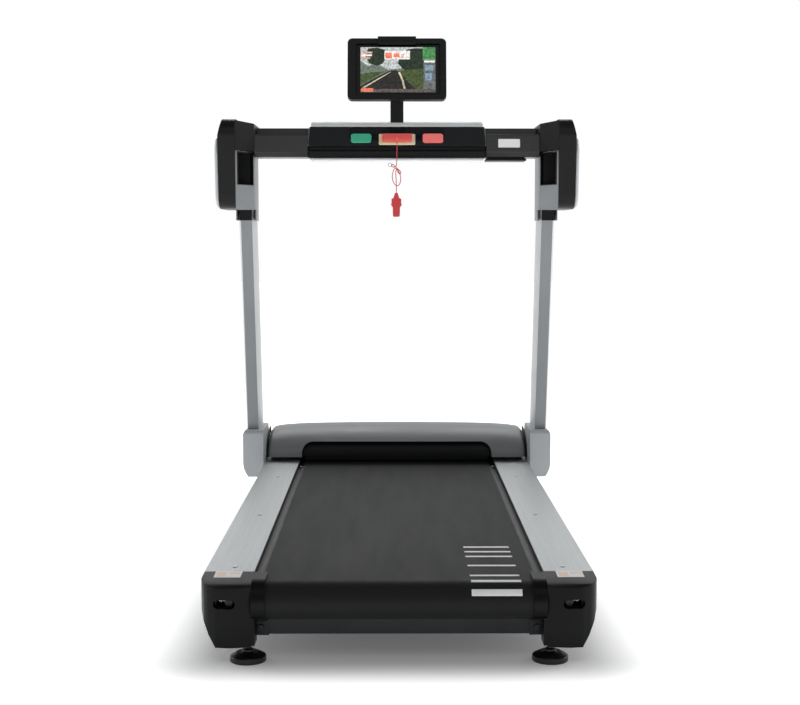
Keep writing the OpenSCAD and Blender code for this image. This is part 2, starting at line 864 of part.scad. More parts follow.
module neck_housing_left() { left_side() neck_housing(); }
module neck_housing_right() { neck_housing(); }

module neck_collars() {
    color(black_plastic) both_sides() difference() {
        box([427, 328, cheek_low], [462, 352, neck_low]);
        post_solid(0.2, 850, 1000);
    }
}

// Plan of the pocket behind the neck's slanted face: outside, and hollow
pocket_plan = [[454.3, 200.2], [457.6, 201.6], [457.6, 293], [424, 293], [419.6, 287.7], [415.9, 286.1]];
pocket_hollow = [
    [450.4, 201], [455.1, 203.1], [455.1, 290.5], [425, 290.5], [421.3, 286], [413.9, 282.7], [434, 190]
];

module pocket_liners() {
    color([0.03, 0.03, 0.035]) both_sides() difference() {
        translate([0, 0, pocket_low + 0.2])
            linear_extrude(pocket_high - pocket_low - 0.4) polygon(pocket_plan);
        translate([0, 0, pocket_low + 2.7])
            linear_extrude(pocket_high - pocket_low - 5.4) polygon(pocket_hollow);
    }
}

// Outer side of a pod, set in by t: it leans in towards the top
module pod_side(t) {
    along_y(100, 560) polygon([
        [pod_in - 5, 900], [pod_out - t, 900], [pod_out - t, 1158],
        [pod_out - 11 - t, 1210], [pod_in - 5, 1210]
    ]);
}

// Pod: a rounded band with an inner and an outer plate, and the shoulder to the tray
module pod_shell() {
    color(black_plastic) {
        difference() {
            intersection() {
                along_x(pod_in, pod_out) round_outline(pod_corners, pod_r);
                pod_side(0);
            }
            intersection() {
                along_x(pod_in + pod_plate, pod_out - pod_plate) round_outline(pod_corners, pod_r - pod_band);
                pod_side(pod_plate);
            }
            // room for the side of the post
            post_slot(1.5, 900, 1125);
        }
        difference() {
            intersection() {
                translate([0, 0, neck_high]) linear_extrude(100) polygon([
                    [pod_in + 1, 189], [pod_in + 1, 441], [shoulder_in, 400], [shoulder_in, 236]
                ]);
                along_y(150, 500) polygon([
                    [shoulder_in, neck_high], [pod_in + 1, neck_high],
                    [pod_in + 1, shoulder_top_out], [shoulder_in, shoulder_top_in]
                ]);
            }
            box([shoulder_in - 1, beam_y - 0.5, neck_high - 1], [shoulder_in + 4, beam_front + 0.5, beam_high + 0.5]);
            intersection() {
                translate([0, 0, neck_high - 1]) linear_extrude(100) polygon([
                    [pod_in - 3, 199], [pod_in - 3, 434], [shoulder_in + 3, 398], [shoulder_in + 3, 240]
                ]);
                along_y(150, 500) polygon([
                    [shoulder_in - 1, neck_high - 2], [pod_in + 1, neck_high - 2],
                    [pod_in + 1, shoulder_top_out - 3], [shoulder_in - 1, shoulder_top_in - 3]
                ]);
            }
        }
    }
}

module pod_shell_left() { left_side() pod_shell(); }
module pod_shell_right() { pod_shell(); }

// Convex outer cover of a pod: three rounded layers drawn together
module pod_cover() {
    $fn = 32;
    color(silver_plastic) hull() {
        along_x(pod_out, pod_out + 4) round_outline(cover_corners, pod_r - 3);
        along_x(pod_out + 4, pod_out + 8.5) round_outline(cover_corners, pod_r - 12);
        along_x(pod_out + 8, pod_out + pod_dome) round_outline(cover_corners, pod_r - 34);
    }
}

module pod_covers() { both_sides() pod_cover(); }

// ---------- console ----------

module console_beam() {
    color(steel_black) {
        difference() {
            box([-420, beam_y, beam_low], [420, beam_front, beam_high]);
            box([-425, beam_y + 2.5, beam_low + 2.5], [425, beam_front - 2.5, beam_high - 2.5]);
        }
        // blocks that reach round the posts
        both_sides() difference() {
            box([418, beam_y, beam_low - 40], [434, 350, beam_high]);
            post_solid(0.2, 1000, 1200);
        }
    }
}

// Profile of a side tray: front lip, trough and back wall
module tray_outline() {
    difference() {
        polygon([
            [252, 1102], [240, 1113], [238, 1116], [238, 1163], [240, 1166], [245, 1166],
            [247, 1160], [254, 1143], [262, 1140], [312, 1140], [320, 1143], [328, 1186],
            [331, 1190], [340, 1190], [344, 1186], [346, 1110], [340, 1102]
        ]);
        polygon([
            [253.5, 1105], [243, 1114.5], [241, 1117], [241, 1156], [244, 1150], [251, 1141],
            [260, 1137], [313, 1137], [322, 1141], [331, 1184], [333, 1187], [339, 1187],
            [341, 1185], [343, 1111], [338.8, 1105]
        ]);
    }
}

module side_tray() {
    color(black_plastic) along_x(console_half + tray_gap, shoulder_in - 0.3) tray_outline();
}

module side_tray_left() { left_side() side_tray(); }
module side_tray_right() { side_tray(); }

// End profile of the console body, under the panel
function body_outline() = [
    [246, 1100], [239, 1107], [239, 1118], [248, 1121], [248, 1130], [236, 1133.5],
    [289, 1186.5], [334, 1186.5], [334, 1100]
];

module console_body() {
    color(black_plastic) {
        difference() {
            along_x(-console_half, console_half) polygon(body_outline());
            along_x(-console_half + 3, console_half - 3) polygon([
                [247, 1103], [242, 1108], [242, 1116], [251, 1119], [251, 1132],
                [242, 1136.7], [295, 1189.7], [335, 1189.7], [335, 1103]
            ]);
            // room for the buttons' flanges and the back of the key socket
            for (x = [-button_x, button_x]) on_panel()
                translate([x - 33, button_y - 22.5, -9]) cube([66, 45, 8]);
            on_panel() translate([-47, socket_y - 16, -10]) cube([94, 32, 9]);
            // room for the beam through both ends
            box([-300, beam_y - 1, beam_low - 1], [300, beam_front + 1, beam_high + 1]);
        }
    }
}

module console_panel() {
    color([0.04, 0.04, 0.045]) difference() {
        on_panel() translate([-console_half + 0.5, -panel_half_len, -panel_t])
            cube([2 * console_half - 1, 2 * panel_half_len, panel_t]);
        for (x = [-button_x, button_x]) on_panel() translate([x, button_y, -10])
            linear_extrude(20) button_outline(button_clear);
        on_panel() translate([-socket_w / 2 + 6, socket_y - socket_h / 2 + 6, -10])
            cube([socket_w - 12, socket_h - 12, 20]);
    }
}

// Silver cover behind and under the console
module console_back_cover() {
    half = console_half - 4;
    color(silver_plastic) difference() {
        along_x(-half, half) polygon([
            [262, 1093], [262, 1099.5], [334.5, 1099.5], [334.5, 1187], [290, 1187], [290, 1194],
            [300, 1202], [318, 1208], [338, 1209], [354, 1204], [364, 1192],
            [cover_back_y, 1160], [cover_back_y, 1112], [366, 1100], [356, 1093]
        ]);
        along_x(-half + 3, half - 3) polygon([
            [337, 1097], [337, 1190], [300, 1190], [303, 1199], [318, 1205], [337, 1206],
            [352, 1201], [361, 1190], [cover_back_y - 3, 1159], [cover_back_y - 3, 1113],
            [363, 1102], [355, 1097]
        ]);
        // slot for the tablet stem
        box([-stem_half - 0.5, 311, 1150], [stem_half + 0.5, 325, 1230]);
    }
}

module console_board() {
    color([0.1, 0.35, 0.2]) on_panel() {
        translate([-130, -26, -14.6]) cube([260, 52, 1.6]);
        for (x = [-button_x, button_x]) translate([x - 3, button_y - 3, -13.1]) cube([6, 6, 3.8]);
        translate([-20, 8, -13.1]) cube([18, 14, 3]);
        translate([30, 6, -13.1]) cube([12, 12, 2]);
    }
}

module sensor_box() {
    color(black_plastic) {
        box([257, 254, 1092], [372, 334, 1099]);
        box([261, 258, 1098], [368, 330, bar_low]);
    }
}

module button_outline(g) {
    round_rect(-button_w / 2 - g, -button_h / 2 - g, button_w / 2 + g, button_h / 2 + g, 8);
}

// A button: crowned cap, and a flange that holds it under the panel
module push_button() {
    on_panel() translate([0, button_y, 0]) {
        translate([0, 0, -7]) linear_extrude(7 + button_rise) button_outline(0);
        translate([0, 0, -7]) linear_extrude(2.8)
            round_rect(-button_w / 2 - 2.5, -button_h / 2 - 2.5, button_w / 2 + 2.5, button_h / 2 + 2.5, 4);
    }
}

module start_button() { color([0.2, 0.62, 0.42]) translate([-button_x, 0, 0]) push_button(); }
module stop_button() { color([0.86, 0.35, 0.33]) translate([button_x, 0, 0]) push_button(); }

// Yellow frame that the magnetic key sits in
module key_socket() {
    color([0.85, 0.7, 0.25]) on_panel() difference() {
        union() {
            translate([0, 0, 0]) linear_extrude(5) round_rect(-socket_w / 2, socket_y - socket_h / 2,
                socket_w / 2, socket_y + socket_h / 2, 4);
            translate([-socket_w / 2 + 6.4, socket_y - socket_h / 2 + 6.4, -8])
                cube([socket_w - 12.8, socket_h - 12.8, 9]);
        }
        translate([0, 0, 1.5]) linear_extrude(10)
            round_rect(-key_w / 2 - 0.6, key_y - key_h / 2 - 0.6, key_w / 2 + 0.6, key_y + key_h / 2 + 0.6, 4);
    }
}

module safety_key() {
    color([0.72, 0.08, 0.1]) on_panel() difference() {
        union() {
            translate([0, 0, 1.8]) linear_extrude(8.2)
                round_rect(-key_w / 2, key_y - key_h / 2, key_w / 2, key_y + key_h / 2, 4);
            translate([0, 0, 10 - tiny]) linear_extrude(2)
                round_rect(-key_w / 2 + 4, key_y - key_h / 2 + 4, key_w / 2 - 4, key_y + key_h / 2 - 4, 3);
            // lug for the lanyard
            translate([-2.5, lug_y, lug_z]) rotate([0, 90, 0]) cylinder(h = 5, r = 5);
        }
        translate([-3, lug_y, lug_z]) rotate([0, 90, 0]) cylinder(h = 6, r = 1.8);
    }
}

module lanyard_cord() {
    color([0.75, 0.1, 0.1]) {
        tube(cord_upper, cord_d / 2, cord_sides);
        tube(cord_lower, cord_d / 2, cord_sides);
    }
}

module lanyard_hank() {
    color([0.75, 0.1, 0.1]) along_y(hank_y - hank_t / 2, hank_y + hank_t / 2)
        round_rect(hank_x - hank_half, hank_low, hank_x + hank_half, hank_high, hank_half - 1);
}

// Clip: a flat body with a neck, and a sprung lever on a cross pin behind it
module clip_body() {
    color([0.8, 0.16, 0.16]) difference() {
        union() {
            along_y(219, 225) {
                polygon([
                    [-6, clip_top], [2, clip_top], [6, clip_top - 14], [12, clip_top - 17],
                    [12, clip_top - 36], [8.5, clip_top - 41], [8, clip_top - 64], [6, clip_top - 68],
                    [-10, clip_top - 68], [-12, clip_top - 64], [-12.5, clip_top - 41],
                    [-16, clip_top - 36], [-16, clip_top - 17], [-10, clip_top - 14]
                ]);
            }
            for (x = [-16, 7]) box([x, 224, clip_top - 38], [x + 5, 235, clip_top - 26]);
        }
        rod_x(-20, 16, 231, clip_top - 32, 1.5 + run_fit);
    }
}

module clip_lever() {
    color([0.7, 0.12, 0.12]) {
        rod_x(-18, 14, 231, clip_top - 32, 1.5);
        rod_x(-10.6, 6.6, 231, clip_top - 32, 3.4);
        box([-10, 230, clip_top - 31], [6, 233, clip_top - 10]);
        box([-9, 230, clip_top - 66], [5, 233, clip_top - 33]);
        box([-9, 225.4, clip_top - 66], [5, 231, clip_top - 61]);
    }
}

// ---------- tablet holder ----------

// Hinge axis of the holder, in the machine's frame
hinge_y = holder_y - hinge_back * cos(holder_tilt);
hinge_z = holder_z + hinge_back * sin(holder_tilt);

module tablet_stem() {
    color(black_plastic) difference() {
        union() {
            box([-stem_half, 312, beam_high], [stem_half, 324, 1290]);
            // the bar steps back to the hinge
            along_x(-stem_half, stem_half) polygon([
                [312, 1280], [324, 1280], [324, 1300], [hinge_y + 8, 1330],
                [hinge_y + 8, hinge_z], [hinge_y - 6, hinge_z], [hinge_y - 8, 1325], [312, 1300]
            ]);
            rod_x(-stem_half, stem_half, hinge_y, hinge_z, 9);
        }
        rod_x(-stem_half - 1, stem_half + 1, hinge_y, hinge_z, 4 + run_fit);
    }
}

module tablet_holder() {
    w = holder_w / 2;
    h = holder_h / 2;
    color(black_plastic) on_holder() {
        difference() {
            linear_extrude(holder_t) round_rect(-w, -h, w, h, holder_corner);
            translate([tablet_shift, 0, 4]) linear_extrude(holder_t)
                round_rect(-tablet_w / 2 - 1, -tablet_h / 2 - 1, tablet_w / 2 + 1, tablet_h / 2 + 1, 6);
        }
        // ears and pin of the tilt hinge
        for (x = [-stem_half - 6.5, stem_half + 0.5])
            translate([x, -10, hinge_back - 8]) cube([6, 20, -hinge_back + 8]);
        translate([-stem_half - 1, 0, hinge_back]) rotate([0, 90, 0]) cylinder(h = 2 * stem_half + 2, r = 4);
    }
}

module holder_clamp() {
    top = holder_h / 2;
    color(black_plastic) on_holder() {
        translate([-25, 32, -4.3]) cube([50, top - 27, 4]);
        translate([-55, top + 0.5, -4.3]) cube([110, 4, holder_t + 8.6]);
        difference() {
            translate([-55, top - 19, holder_t + 0.3]) cube([110, 20, 4]);
            translate([-47, top - 12, holder_t + 2.5]) cube([94, 5, 3]);
        }
    }
}

module tablet() {
    color([0.03, 0.03, 0.035]) on_holder() translate([tablet_shift, 0, 4]) difference() {
        linear_extrude(tablet_t) round_rect(-tablet_w / 2, -tablet_h / 2, tablet_w / 2, tablet_h / 2, 8);
        // shallow step round the glass
        translate([0, 0, tablet_t - 0.4]) linear_extrude(1) difference() {
            round_rect(-tablet_w / 2 - 1, -tablet_h / 2 - 1, tablet_w / 2 + 1, tablet_h / 2 + 1, 8);
            round_rect(-tablet_w / 2 + 2, -tablet_h / 2 + 2, tablet_w / 2 - 2, tablet_h / 2 - 2, 7);
        }
    }
}

// ---------- incline ----------

// Places children on the lift frame: y runs along its legs from the pivot
module on_lift() {
    translate([0, pivot_y, pivot_z]) rotate([-lift_angle, 0, 0]) children();
}

module lift_frame() {
    color(steel_black) {
        rod_x(-333, 333, pivot_y, pivot_z, 8);
        difference() {
            rod_x(-leg_out, leg_out, pivot_y, pivot_z, 14);
            rod_x(-leg_out - 1, leg_out + 1, pivot_y, pivot_z, 8);
        }
        on_lift() {
            both_sides() difference() {
                translate([leg_in, 12, -11]) cube([leg_out - leg_in, lift_arm + 2, 22]);
                translate([leg_in + 2.5, 10, -8.5]) cube([leg_out - leg_in - 5, lift_arm - 20, 17]);
            }
            for (y = [118, 335]) difference() {
                translate([-leg_in, y, -10]) cube([2 * leg_in, 20, 20]);
                translate([-leg_in - 1, y + 2.5, -7.5]) cube([2 * leg_in + 2, 15, 15]);
            }
            both_sides() translate([leg_out, lift_arm, 0]) rotate([0, 90, 0]) cylinder(h = 36, r = 6);
        }
        // ears and pin that the actuator pushes on
        both_sides() box([9, pivot_y + 136, pin_z - 9], [14, pin_y + 10, pin_z + 9]);
        rod_x(-17, 17, pin_y, pin_z, 6);
    }
}

module actuator_body() {
    color([0.22, 0.23, 0.25]) on_jack() difference() {
        union() {
            translate([-20, -14, -40]) cube([40, 28, 52]);
            translate([0, 0, -165]) cylinder(h = 130, r = 19);
            translate([-33.5, 0, 0]) rotate([0, 90, 0]) cylinder(h = 67, r = 6);
            // gear case, and the small motor beside the screw
            translate([-23, -20, -64]) cube([46, 84, 26]);
            translate([0, 42, -130]) cylinder(h = 70, r = 19);
        }
        translate([0, 0, -166]) cylinder(h = 124, r = 13.5);
    }
}

module actuator_rod() {
    color(steel_bright) on_jack() difference() {
        union() {
            translate([0, 0, 18 - jack_len]) cylinder(h = 136, r = 13.45);
            translate([-8, -16, -jack_len - 13]) cube([16, 36, 34]);
        }
        // slotted eye on the lift frame's pin
        for (y = [-4.5, 7]) translate([-20, y, -jack_len]) rotate([0, 90, 0]) cylinder(h = 40, r = 7.2);
        translate([-20, -4.5, -jack_len - 7.2]) cube([40, 11.5, 14.4]);
    }
}

module wheel() {
    color([0.1, 0.1, 0.1]) difference() {
        union() {
            rod_x(leg_out + 7, leg_out + 31, wheel_y, wheel_z, wheel_r - 2);
            rod_x(leg_out + 9, leg_out + 29, wheel_y, wheel_z, wheel_r);
        }
        rod_x(leg_out, leg_out + 40, wheel_y, wheel_z, 6 + run_fit);
        for (x = [leg_out + 6, leg_out + 27]) difference() {
            rod_x(x, x + 5, wheel_y, wheel_z, wheel_r - 9);
            rod_x(x - 1, x + 6, wheel_y, wheel_z, 12);
        }
    }
}

module wheel_left() { left_side() wheel(); }
module wheel_right() { wheel(); }

// ---------- power entry ----------

module power_inlet() {
    color([0.05, 0.05, 0.05]) {
        difference() {
            union() {
                box([226.5, front_y - 4, 94.5], [315.5, front_y - 0.5, 125.5]);
                box([280, front_y - 30, 98], [312, front_y - 3, 122]);
            }
            box([284, front_y - 20, 102], [308, front_y + 1, 118]);
            box([237.5, front_y - 10, 99.5], [266.5, front_y + 1, 120.5]);
        }
        for (x = [290, 296, 302]) box([x - 1, front_y - 22, 108], [x + 1, front_y - 6, 112]);
        difference() {
            box([234, front_y - 26, 96], [270, front_y - 3.9, 124]);
            box([237.5, front_y - 22, 99.5], [266.5, front_y, 120.5]);
            rod_x(230, 275, front_y - 9, 110, 2 + run_fit);
        }
    }
}

module power_switch() {
    color([0.08, 0.08, 0.08]) {
        rod_x(235.5, 268.5, front_y - 9, 110, 2);
        along_x(239, 265) polygon([
            [front_y - 11, 101.5], [front_y - 3.6, 101.5], [front_y - 4.6, 110],
            [front_y - 0.6, 118], [front_y - 11, 118]
        ]);
    }
}

frame_members();
rear_crossmember();
crossmembers();
running_deck();
deck_cushions();
running_belt();
rear_roller();
roller_axles();
rear_bearings();
front_roller();
front_bearings();
drive_belt();
drive_motor();
motor_flywheel();
motor_controller();
base_pan();
motor_hood();
hood_skirt();
foot_rails();
end_caps();
rear_foot_left();
rear_foot_right();
fasteners();
bracket_covers();
post_left();
post_right();
neck_housing_left();
neck_housing_right();
neck_collars();
pocket_liners();
pod_shell_left();
pod_shell_right();
pod_covers();
console_beam();
side_tray_left();
side_tray_right();
console_body();
console_panel();
console_back_cover();
console_board();
sensor_box();
start_button();
stop_button();
key_socket();
safety_key();
lanyard_cord();
lanyard_hank();
clip_body();
clip_lever();
tablet_stem();
tablet_holder();
holder_clamp();
tablet();
lift_frame();
actuator_body();
actuator_rod();
wheel_left();
wheel_right();
power_inlet();
power_switch();
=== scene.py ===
import math

import bpy
import bmesh
from mathutils import Matrix, Vector


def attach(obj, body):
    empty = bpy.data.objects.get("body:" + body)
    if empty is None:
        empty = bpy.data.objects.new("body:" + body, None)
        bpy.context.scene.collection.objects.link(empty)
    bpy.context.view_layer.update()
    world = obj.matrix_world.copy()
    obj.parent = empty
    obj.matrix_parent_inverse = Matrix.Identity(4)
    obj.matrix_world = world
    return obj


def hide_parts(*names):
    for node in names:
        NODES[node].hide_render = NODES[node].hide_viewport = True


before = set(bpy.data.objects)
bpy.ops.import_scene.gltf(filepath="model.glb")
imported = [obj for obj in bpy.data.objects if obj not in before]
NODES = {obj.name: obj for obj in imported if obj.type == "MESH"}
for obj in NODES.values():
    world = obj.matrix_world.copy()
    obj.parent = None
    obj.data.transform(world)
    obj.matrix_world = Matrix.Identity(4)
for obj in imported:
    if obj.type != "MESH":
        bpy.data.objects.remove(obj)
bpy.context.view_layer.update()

SCENE = bpy.context.scene
TAU = 2 * math.pi
SIDES = ((-1, "left"), (1, "right"))


def add_object(name, data):
    """An object in the scene that shows data."""
    obj = bpy.data.objects.new(name, data)
    SCENE.collection.objects.link(obj)
    return obj


def mesh_from(name, bm):
    """Turns a bmesh into a mesh and frees it."""
    mesh = bpy.data.meshes.new(name)
    bm.to_mesh(mesh)
    bm.free()
    return mesh


# ---------- camera ----------

# solved from the photograph's vanishing lines
CAMERA_AT = (-0.0146, -3.8049, 0.8779)
CAMERA_DOWN, CAMERA_TURN = 4.78, -0.328     # degrees
CAMERA_LENS, CAMERA_SENSOR = 63, 36         # mm


def make_camera():
    data = bpy.data.cameras.new("camera")
    data.sensor_width = CAMERA_SENSOR
    data.lens = CAMERA_LENS
    data.clip_end = 100
    cam = add_object("camera", data)
    cam.location = CAMERA_AT
    cam.rotation_euler = (math.radians(90 - CAMERA_DOWN), 0, math.radians(CAMERA_TURN))
    SCENE.camera = cam


make_camera()


# ---------- the lanyard comes first ----------

CORD_D = 0.0024     # metres
CORD_Y = 223        # the plane that the cord hangs in, mm


def smooth_path(points, per_segment=6):
    """A Catmull-Rom curve through the points."""
    pts = [Vector(p) for p in points]
    pts = [2 * pts[0] - pts[1]] + pts + [2 * pts[-1] - pts[-2]]
    out = []
    for a, b, c, d in zip(pts, pts[1:], pts[2:], pts[3:]):
        for k in range(per_segment):
            t = k / per_segment
            out.append(0.5 * ((2 * b) + (c - a) * t + (2 * a - 5 * b + 4 * c - d) * t * t
                              + (3 * b - a - 3 * c + d) * t ** 3))
    out.append(pts[-2])
    return out


# the route in millimetres: X, Z and how far it stands out from CORD_Y
LANYARD = [
    (0, 1147, -5.5), (0, 1140, -2.5), (0, 1130, -0.5), (-0.5, 1115, 0), (-0.5, 1100, 0),
    (-1, 1088, 0.5), (-1, 1081, 1.5), (-3, 1075, 3), (-9, 1072, 3.5), (-14.5, 1074, 3),
    (-16, 1078.5, 2), (-12, 1080, 1), (-6, 1075, 0), (0, 1069, -1), (8, 1062, -2.5),
    (11, 1056, -3.5), (7.5, 1053, -3.5), (3, 1058, -2), (-1.5, 1066, 1), (-6, 1069, 3.5),
    (-11, 1060, 3), (-13.5, 1047, 2), (-12, 1034, 1.5), (-7, 1024, 1), (0, 1019, 0.5),
    (6.5, 1023, 0), (10, 1034, -0.5), (10, 1046, -1), (6, 1058, -1.5), (1, 1067, -3),
    (-3, 1062, -3), (-3.5, 1050, -1.5), (-2.5, 1034, 0), (-2, 1016, 0), (-2, 1006, 0),
    (-2, 999, 0),
]


def lanyard_path():
    return smooth_path([(x / 1000, (CORD_Y - out) / 1000, z / 1000) for x, z, out in LANYARD])


# ---------- materials ----------

def pick(sockets, kind, name=None):
    """The sockets of one type, and of one name where it's given."""
    return [k for k in sockets if k.type == kind and (name is None or k.name == name)]


def map_range(tree, fac, stops, kind="LINEAR"):
    """fac carried from the range stops[:2] to the range stops[2:]."""
    made = tree.nodes.new("ShaderNodeMapRange")
    made.interpolation_type = kind
    for key, value in zip(("From Min", "From Max", "To Min", "To Max"), stops):
        made.inputs[key].default_value = value
    tree.links.new(fac, made.inputs["Value"])
    return made.outputs["Result"]


class Shader:
    """A node material with one Principled shader and helpers for procedural detail."""

    def __init__(self, name, color, rough=0.5, metallic=0.0, **sockets):
        self.mat = bpy.data.materials.new(name)
        self.mat.use_nodes = True
        self.tree = self.mat.node_tree
        self.bsdf = self.tree.nodes["Principled BSDF"]
        self.color = color
        self.bsdf.inputs["Base Color"].default_value = (*color, 1)
        self.bsdf.inputs["Roughness"].default_value = rough
        self.bsdf.inputs["Metallic"].default_value = metallic
        for key, value in sockets.items():
            self.bsdf.inputs[key.replace("_", " ")].default_value = value
        self.normal = None

    def node(self, kind, **settings):
        made = self.tree.nodes.new(kind)
        for key, value in settings.items():
            if key in made.inputs:
                made.inputs[key].default_value = value
            else:
                setattr(made, key, value)
        return made

    def link(self, a, b):
        self.tree.links.new(a, b)

    def coords(self, stretch=(1, 1, 1)):
        source = self.node("ShaderNodeTexCoord")
        mapping = self.node("ShaderNodeMapping")
        mapping.inputs["Scale"].default_value = stretch
        self.link(source.outputs["Object"], mapping.inputs["Vector"])
        return mapping.outputs["Vector"]

    def axes(self, output="Object"):
        """X, Y and Z of the object's coordinates, or of its Normal."""
        source = self.node("ShaderNodeTexCoord")
        split = self.node("ShaderNodeSeparateXYZ")
        self.link(source.outputs[output], split.inputs["Vector"])
        return split.outputs

    def calc(self, operation, a, b=None):
        """A math node; a and b are each a socket or a number."""
        made = self.node("ShaderNodeMath", operation=operation)
        for value, socket in zip((a, b), made.inputs):
            if isinstance(value, (int, float)):
                socket.default_value = value
            elif value is not None:
                self.link(value, socket)
        return made.outputs[0]

    def noise(self, scale, stretch=(1, 1, 1), detail=3.0, rough=0.55):
        tex = self.node("ShaderNodeTexNoise", Scale=scale, Detail=detail, Roughness=rough)
        self.link(self.coords(stretch), tex.inputs["Vector"])
        return tex.outputs["Fac"]

    def ramp(self, fac, low, high, start=0.3, end=0.7):
        return map_range(self.tree, fac, (start, end, low, high))

    def tint(self, fac, low, high):
        """Colour between two multiples of the base colour."""
        mix = self.node("ShaderNodeMix", data_type="RGBA")
        a, b = pick(mix.inputs, "RGBA")
        a.default_value = (*[min(1, c * low) for c in self.color], 1)
        b.default_value = (*[min(1, c * high) for c in self.color], 1)
        self.link(fac, pick(mix.inputs, "VALUE", "Factor")[0])
        self.link(pick(mix.outputs, "RGBA")[0], self.bsdf.inputs["Base Color"])
        return self

    def vary_rough(self, fac, low, high):
        self.link(self.ramp(fac, low, high), self.bsdf.inputs["Roughness"])
        return self

    def bump(self, height, distance, strength=1.0):
        made = self.node("ShaderNodeBump", Strength=strength, Distance=distance)
        self.link(height, made.inputs["Height"])
        if self.normal:
            self.link(self.normal, made.inputs["Normal"])
        self.normal = made.outputs["Normal"]
        self.link(self.normal, self.bsdf.inputs["Normal"])
        return self


def zone(sh, *tests):
    """1 where every test holds: (axis, "GREATER_THAN" or "LESS_THAN", metres), W being |X|."""
    axes = sh.axes()
    held = None
    for axis, operation, metres in tests:
        place = sh.calc("ABSOLUTE", axes["X"]) if axis == "W" else axes[axis]
        test = sh.calc(operation, place, metres)
        held = sh.calc("MULTIPLY", held, test) if held else test
    return held


def recolour(sh, where, color):
    """Paints color over what the base colour is now, in a zone."""
    mix = sh.node("ShaderNodeMix", data_type="RGBA")
    a, b = pick(mix.inputs, "RGBA")
    base = sh.bsdf.inputs["Base Color"]
    if base.is_linked:
        sh.link(base.links[0].from_socket, a)
    else:
        a.default_value = base.default_value
    b.default_value = (*color, 1)
    sh.link(where, pick(mix.inputs, "VALUE", "Factor")[0])
    sh.link(pick(mix.outputs, "RGBA")[0], base)
    return sh


def plastic(name, color, rough=0.5, grain=900, depth=0.00012, strength=0.35, **sockets):
    """Moulded plastic: a fine leather-like grain and slow changes of gloss."""
    sh = Shader(name, color, rough, **sockets)
    voronoi = sh.node("ShaderNodeTexVoronoi", Scale=grain)
    sh.link(sh.coords(), voronoi.inputs["Vector"])
    sh.bump(voronoi.outputs["Distance"], depth, strength)
    sh.vary_rough(sh.noise(7, detail=2), rough - 0.05, rough + 0.06)
    sh.tint(sh.noise(14, detail=4), 0.93, 1.07)
    return sh.mat


def glossy(name, color, rough, cloud, detail, **sockets):
    """Lacquer or glass, faintly clouded."""
    sh = Shader(name, color, rough, **sockets)
    return sh.tint(sh.noise(cloud, detail=detail), 0.9, 1.1).mat


def painted(name, color, rough=0.35, metallic=0.0, **sockets):
    """Powder coat or satin paint: a faint orange-peel skin."""
    sh = Shader(name, color, rough, metallic, **sockets)
    sh.bump(sh.noise(1600, detail=2), 0.00008, 0.25)
    sh.bump(sh.noise(160, detail=1), 0.0002, 0.12)
    sh.vary_rough(sh.noise(9, detail=3), rough - 0.05, rough + 0.05)
    return sh.tint(sh.noise(5, detail=4), 0.96, 1.04)


def brushed(name, color, rough, along, coarse, low, high, metallic=1.0):
    """Metal drawn or brushed along the axis with the small stretch."""
    sh = Shader(name, color, rough, metallic)
    streak = sh.noise(900, along, detail=5, rough=0.65)
    sh.bump(streak, 0.00006, 0.5)
    sh.vary_rough(streak, rough - 0.08, rough + 0.12)
    return sh.tint(sh.noise(coarse, along, detail=6, rough=0.7), low, high)


def turned(name, color, rough=0.25):
    """Turned or plated steel, with faint marks round the X axis."""
    sh = Shader(name, color, rough, 1.0)
    marks = sh.noise(900, (1, 0.05, 0.05), detail=3)
    sh.bump(marks, 0.00003, 0.5)
    return sh.vary_rough(marks, rough - 0.05, rough + 0.1)


def rubber(name, color, rough=0.65, scale=500):
    """Rubber, or a print on it: a fine matt skin."""
    sh = Shader(name, color, rough)
    sh.bump(sh.noise(scale, detail=4), 0.0002, 0.5)
    sh.vary_rough(sh.noise(20, detail=3), rough - 0.08, rough + 0.08)
    sh.tint(sh.noise(30, detail=4), 0.85, 1.2)
    return sh.mat


BELT_PITCH = 0.0032     # of the diamond print, metres


def belt_material():
    """Woven-backed walking belt: fine diamond print, faint scuffs along the run."""
    sh = Shader("walking_belt", (0.0128, 0.0131, 0.0136), 0.5, Specular_IOR_Level=0.14)
    axes = sh.axes()

    def diagonal(sign):
        across = sh.calc("ADD", axes["X"], sh.calc("MULTIPLY", axes["Y"], sign))
        return sh.calc("SINE", sh.calc("MULTIPLY", across, TAU / BELT_PITCH))

    sh.bump(sh.calc("MAXIMUM", diagonal(1), diagonal(-1)), 0.00012, 0.35)
    sh.bump(sh.noise(1400, detail=3), 0.0001, 0.3)
    scuff = sh.noise(26, (1, 0.12, 1), detail=6, rough=0.6)
    sh.tint(scuff, 0.95, 1.06)
    sh.vary_rough(scuff, 0.54, 0.60)
    return sh.mat


def braid():
    """Braided cord, with a slanting lay."""
    sh = Shader("red_braid", (0.72, 0.05, 0.06), 0.6, Sheen_Weight=0.3)
    wave = sh.node("ShaderNodeTexWave", Scale=260.0, Distortion=1.5, bands_direction="DIAGONAL")
    sh.link(sh.coords(), wave.inputs["Vector"])
    sh.bump(wave.outputs["Fac"], 0.0003, 0.6)
    sh.tint(sh.noise(300, detail=3), 0.75, 1.2)
    return sh.mat


def glow(name, color, strength):
    """A lit patch of the tablet's picture, mottled like leaves and grit."""
    sh = Shader(name, color, 0.3, Specular_IOR_Level=0.1)
    sh.tint(sh.ramp(sh.noise(150, detail=6, rough=0.75), 0, 1, 0.36, 0.64), 0.45, 1.45)
    sh.link(sh.bsdf.inputs["Base Color"].links[0].from_socket, sh.bsdf.inputs["Emission Color"])
    sh.bsdf.inputs["Emission Strength"].default_value = strength
    return sh.mat


STEP_EDGE = 0.3052      # |X| where the rail's step ends
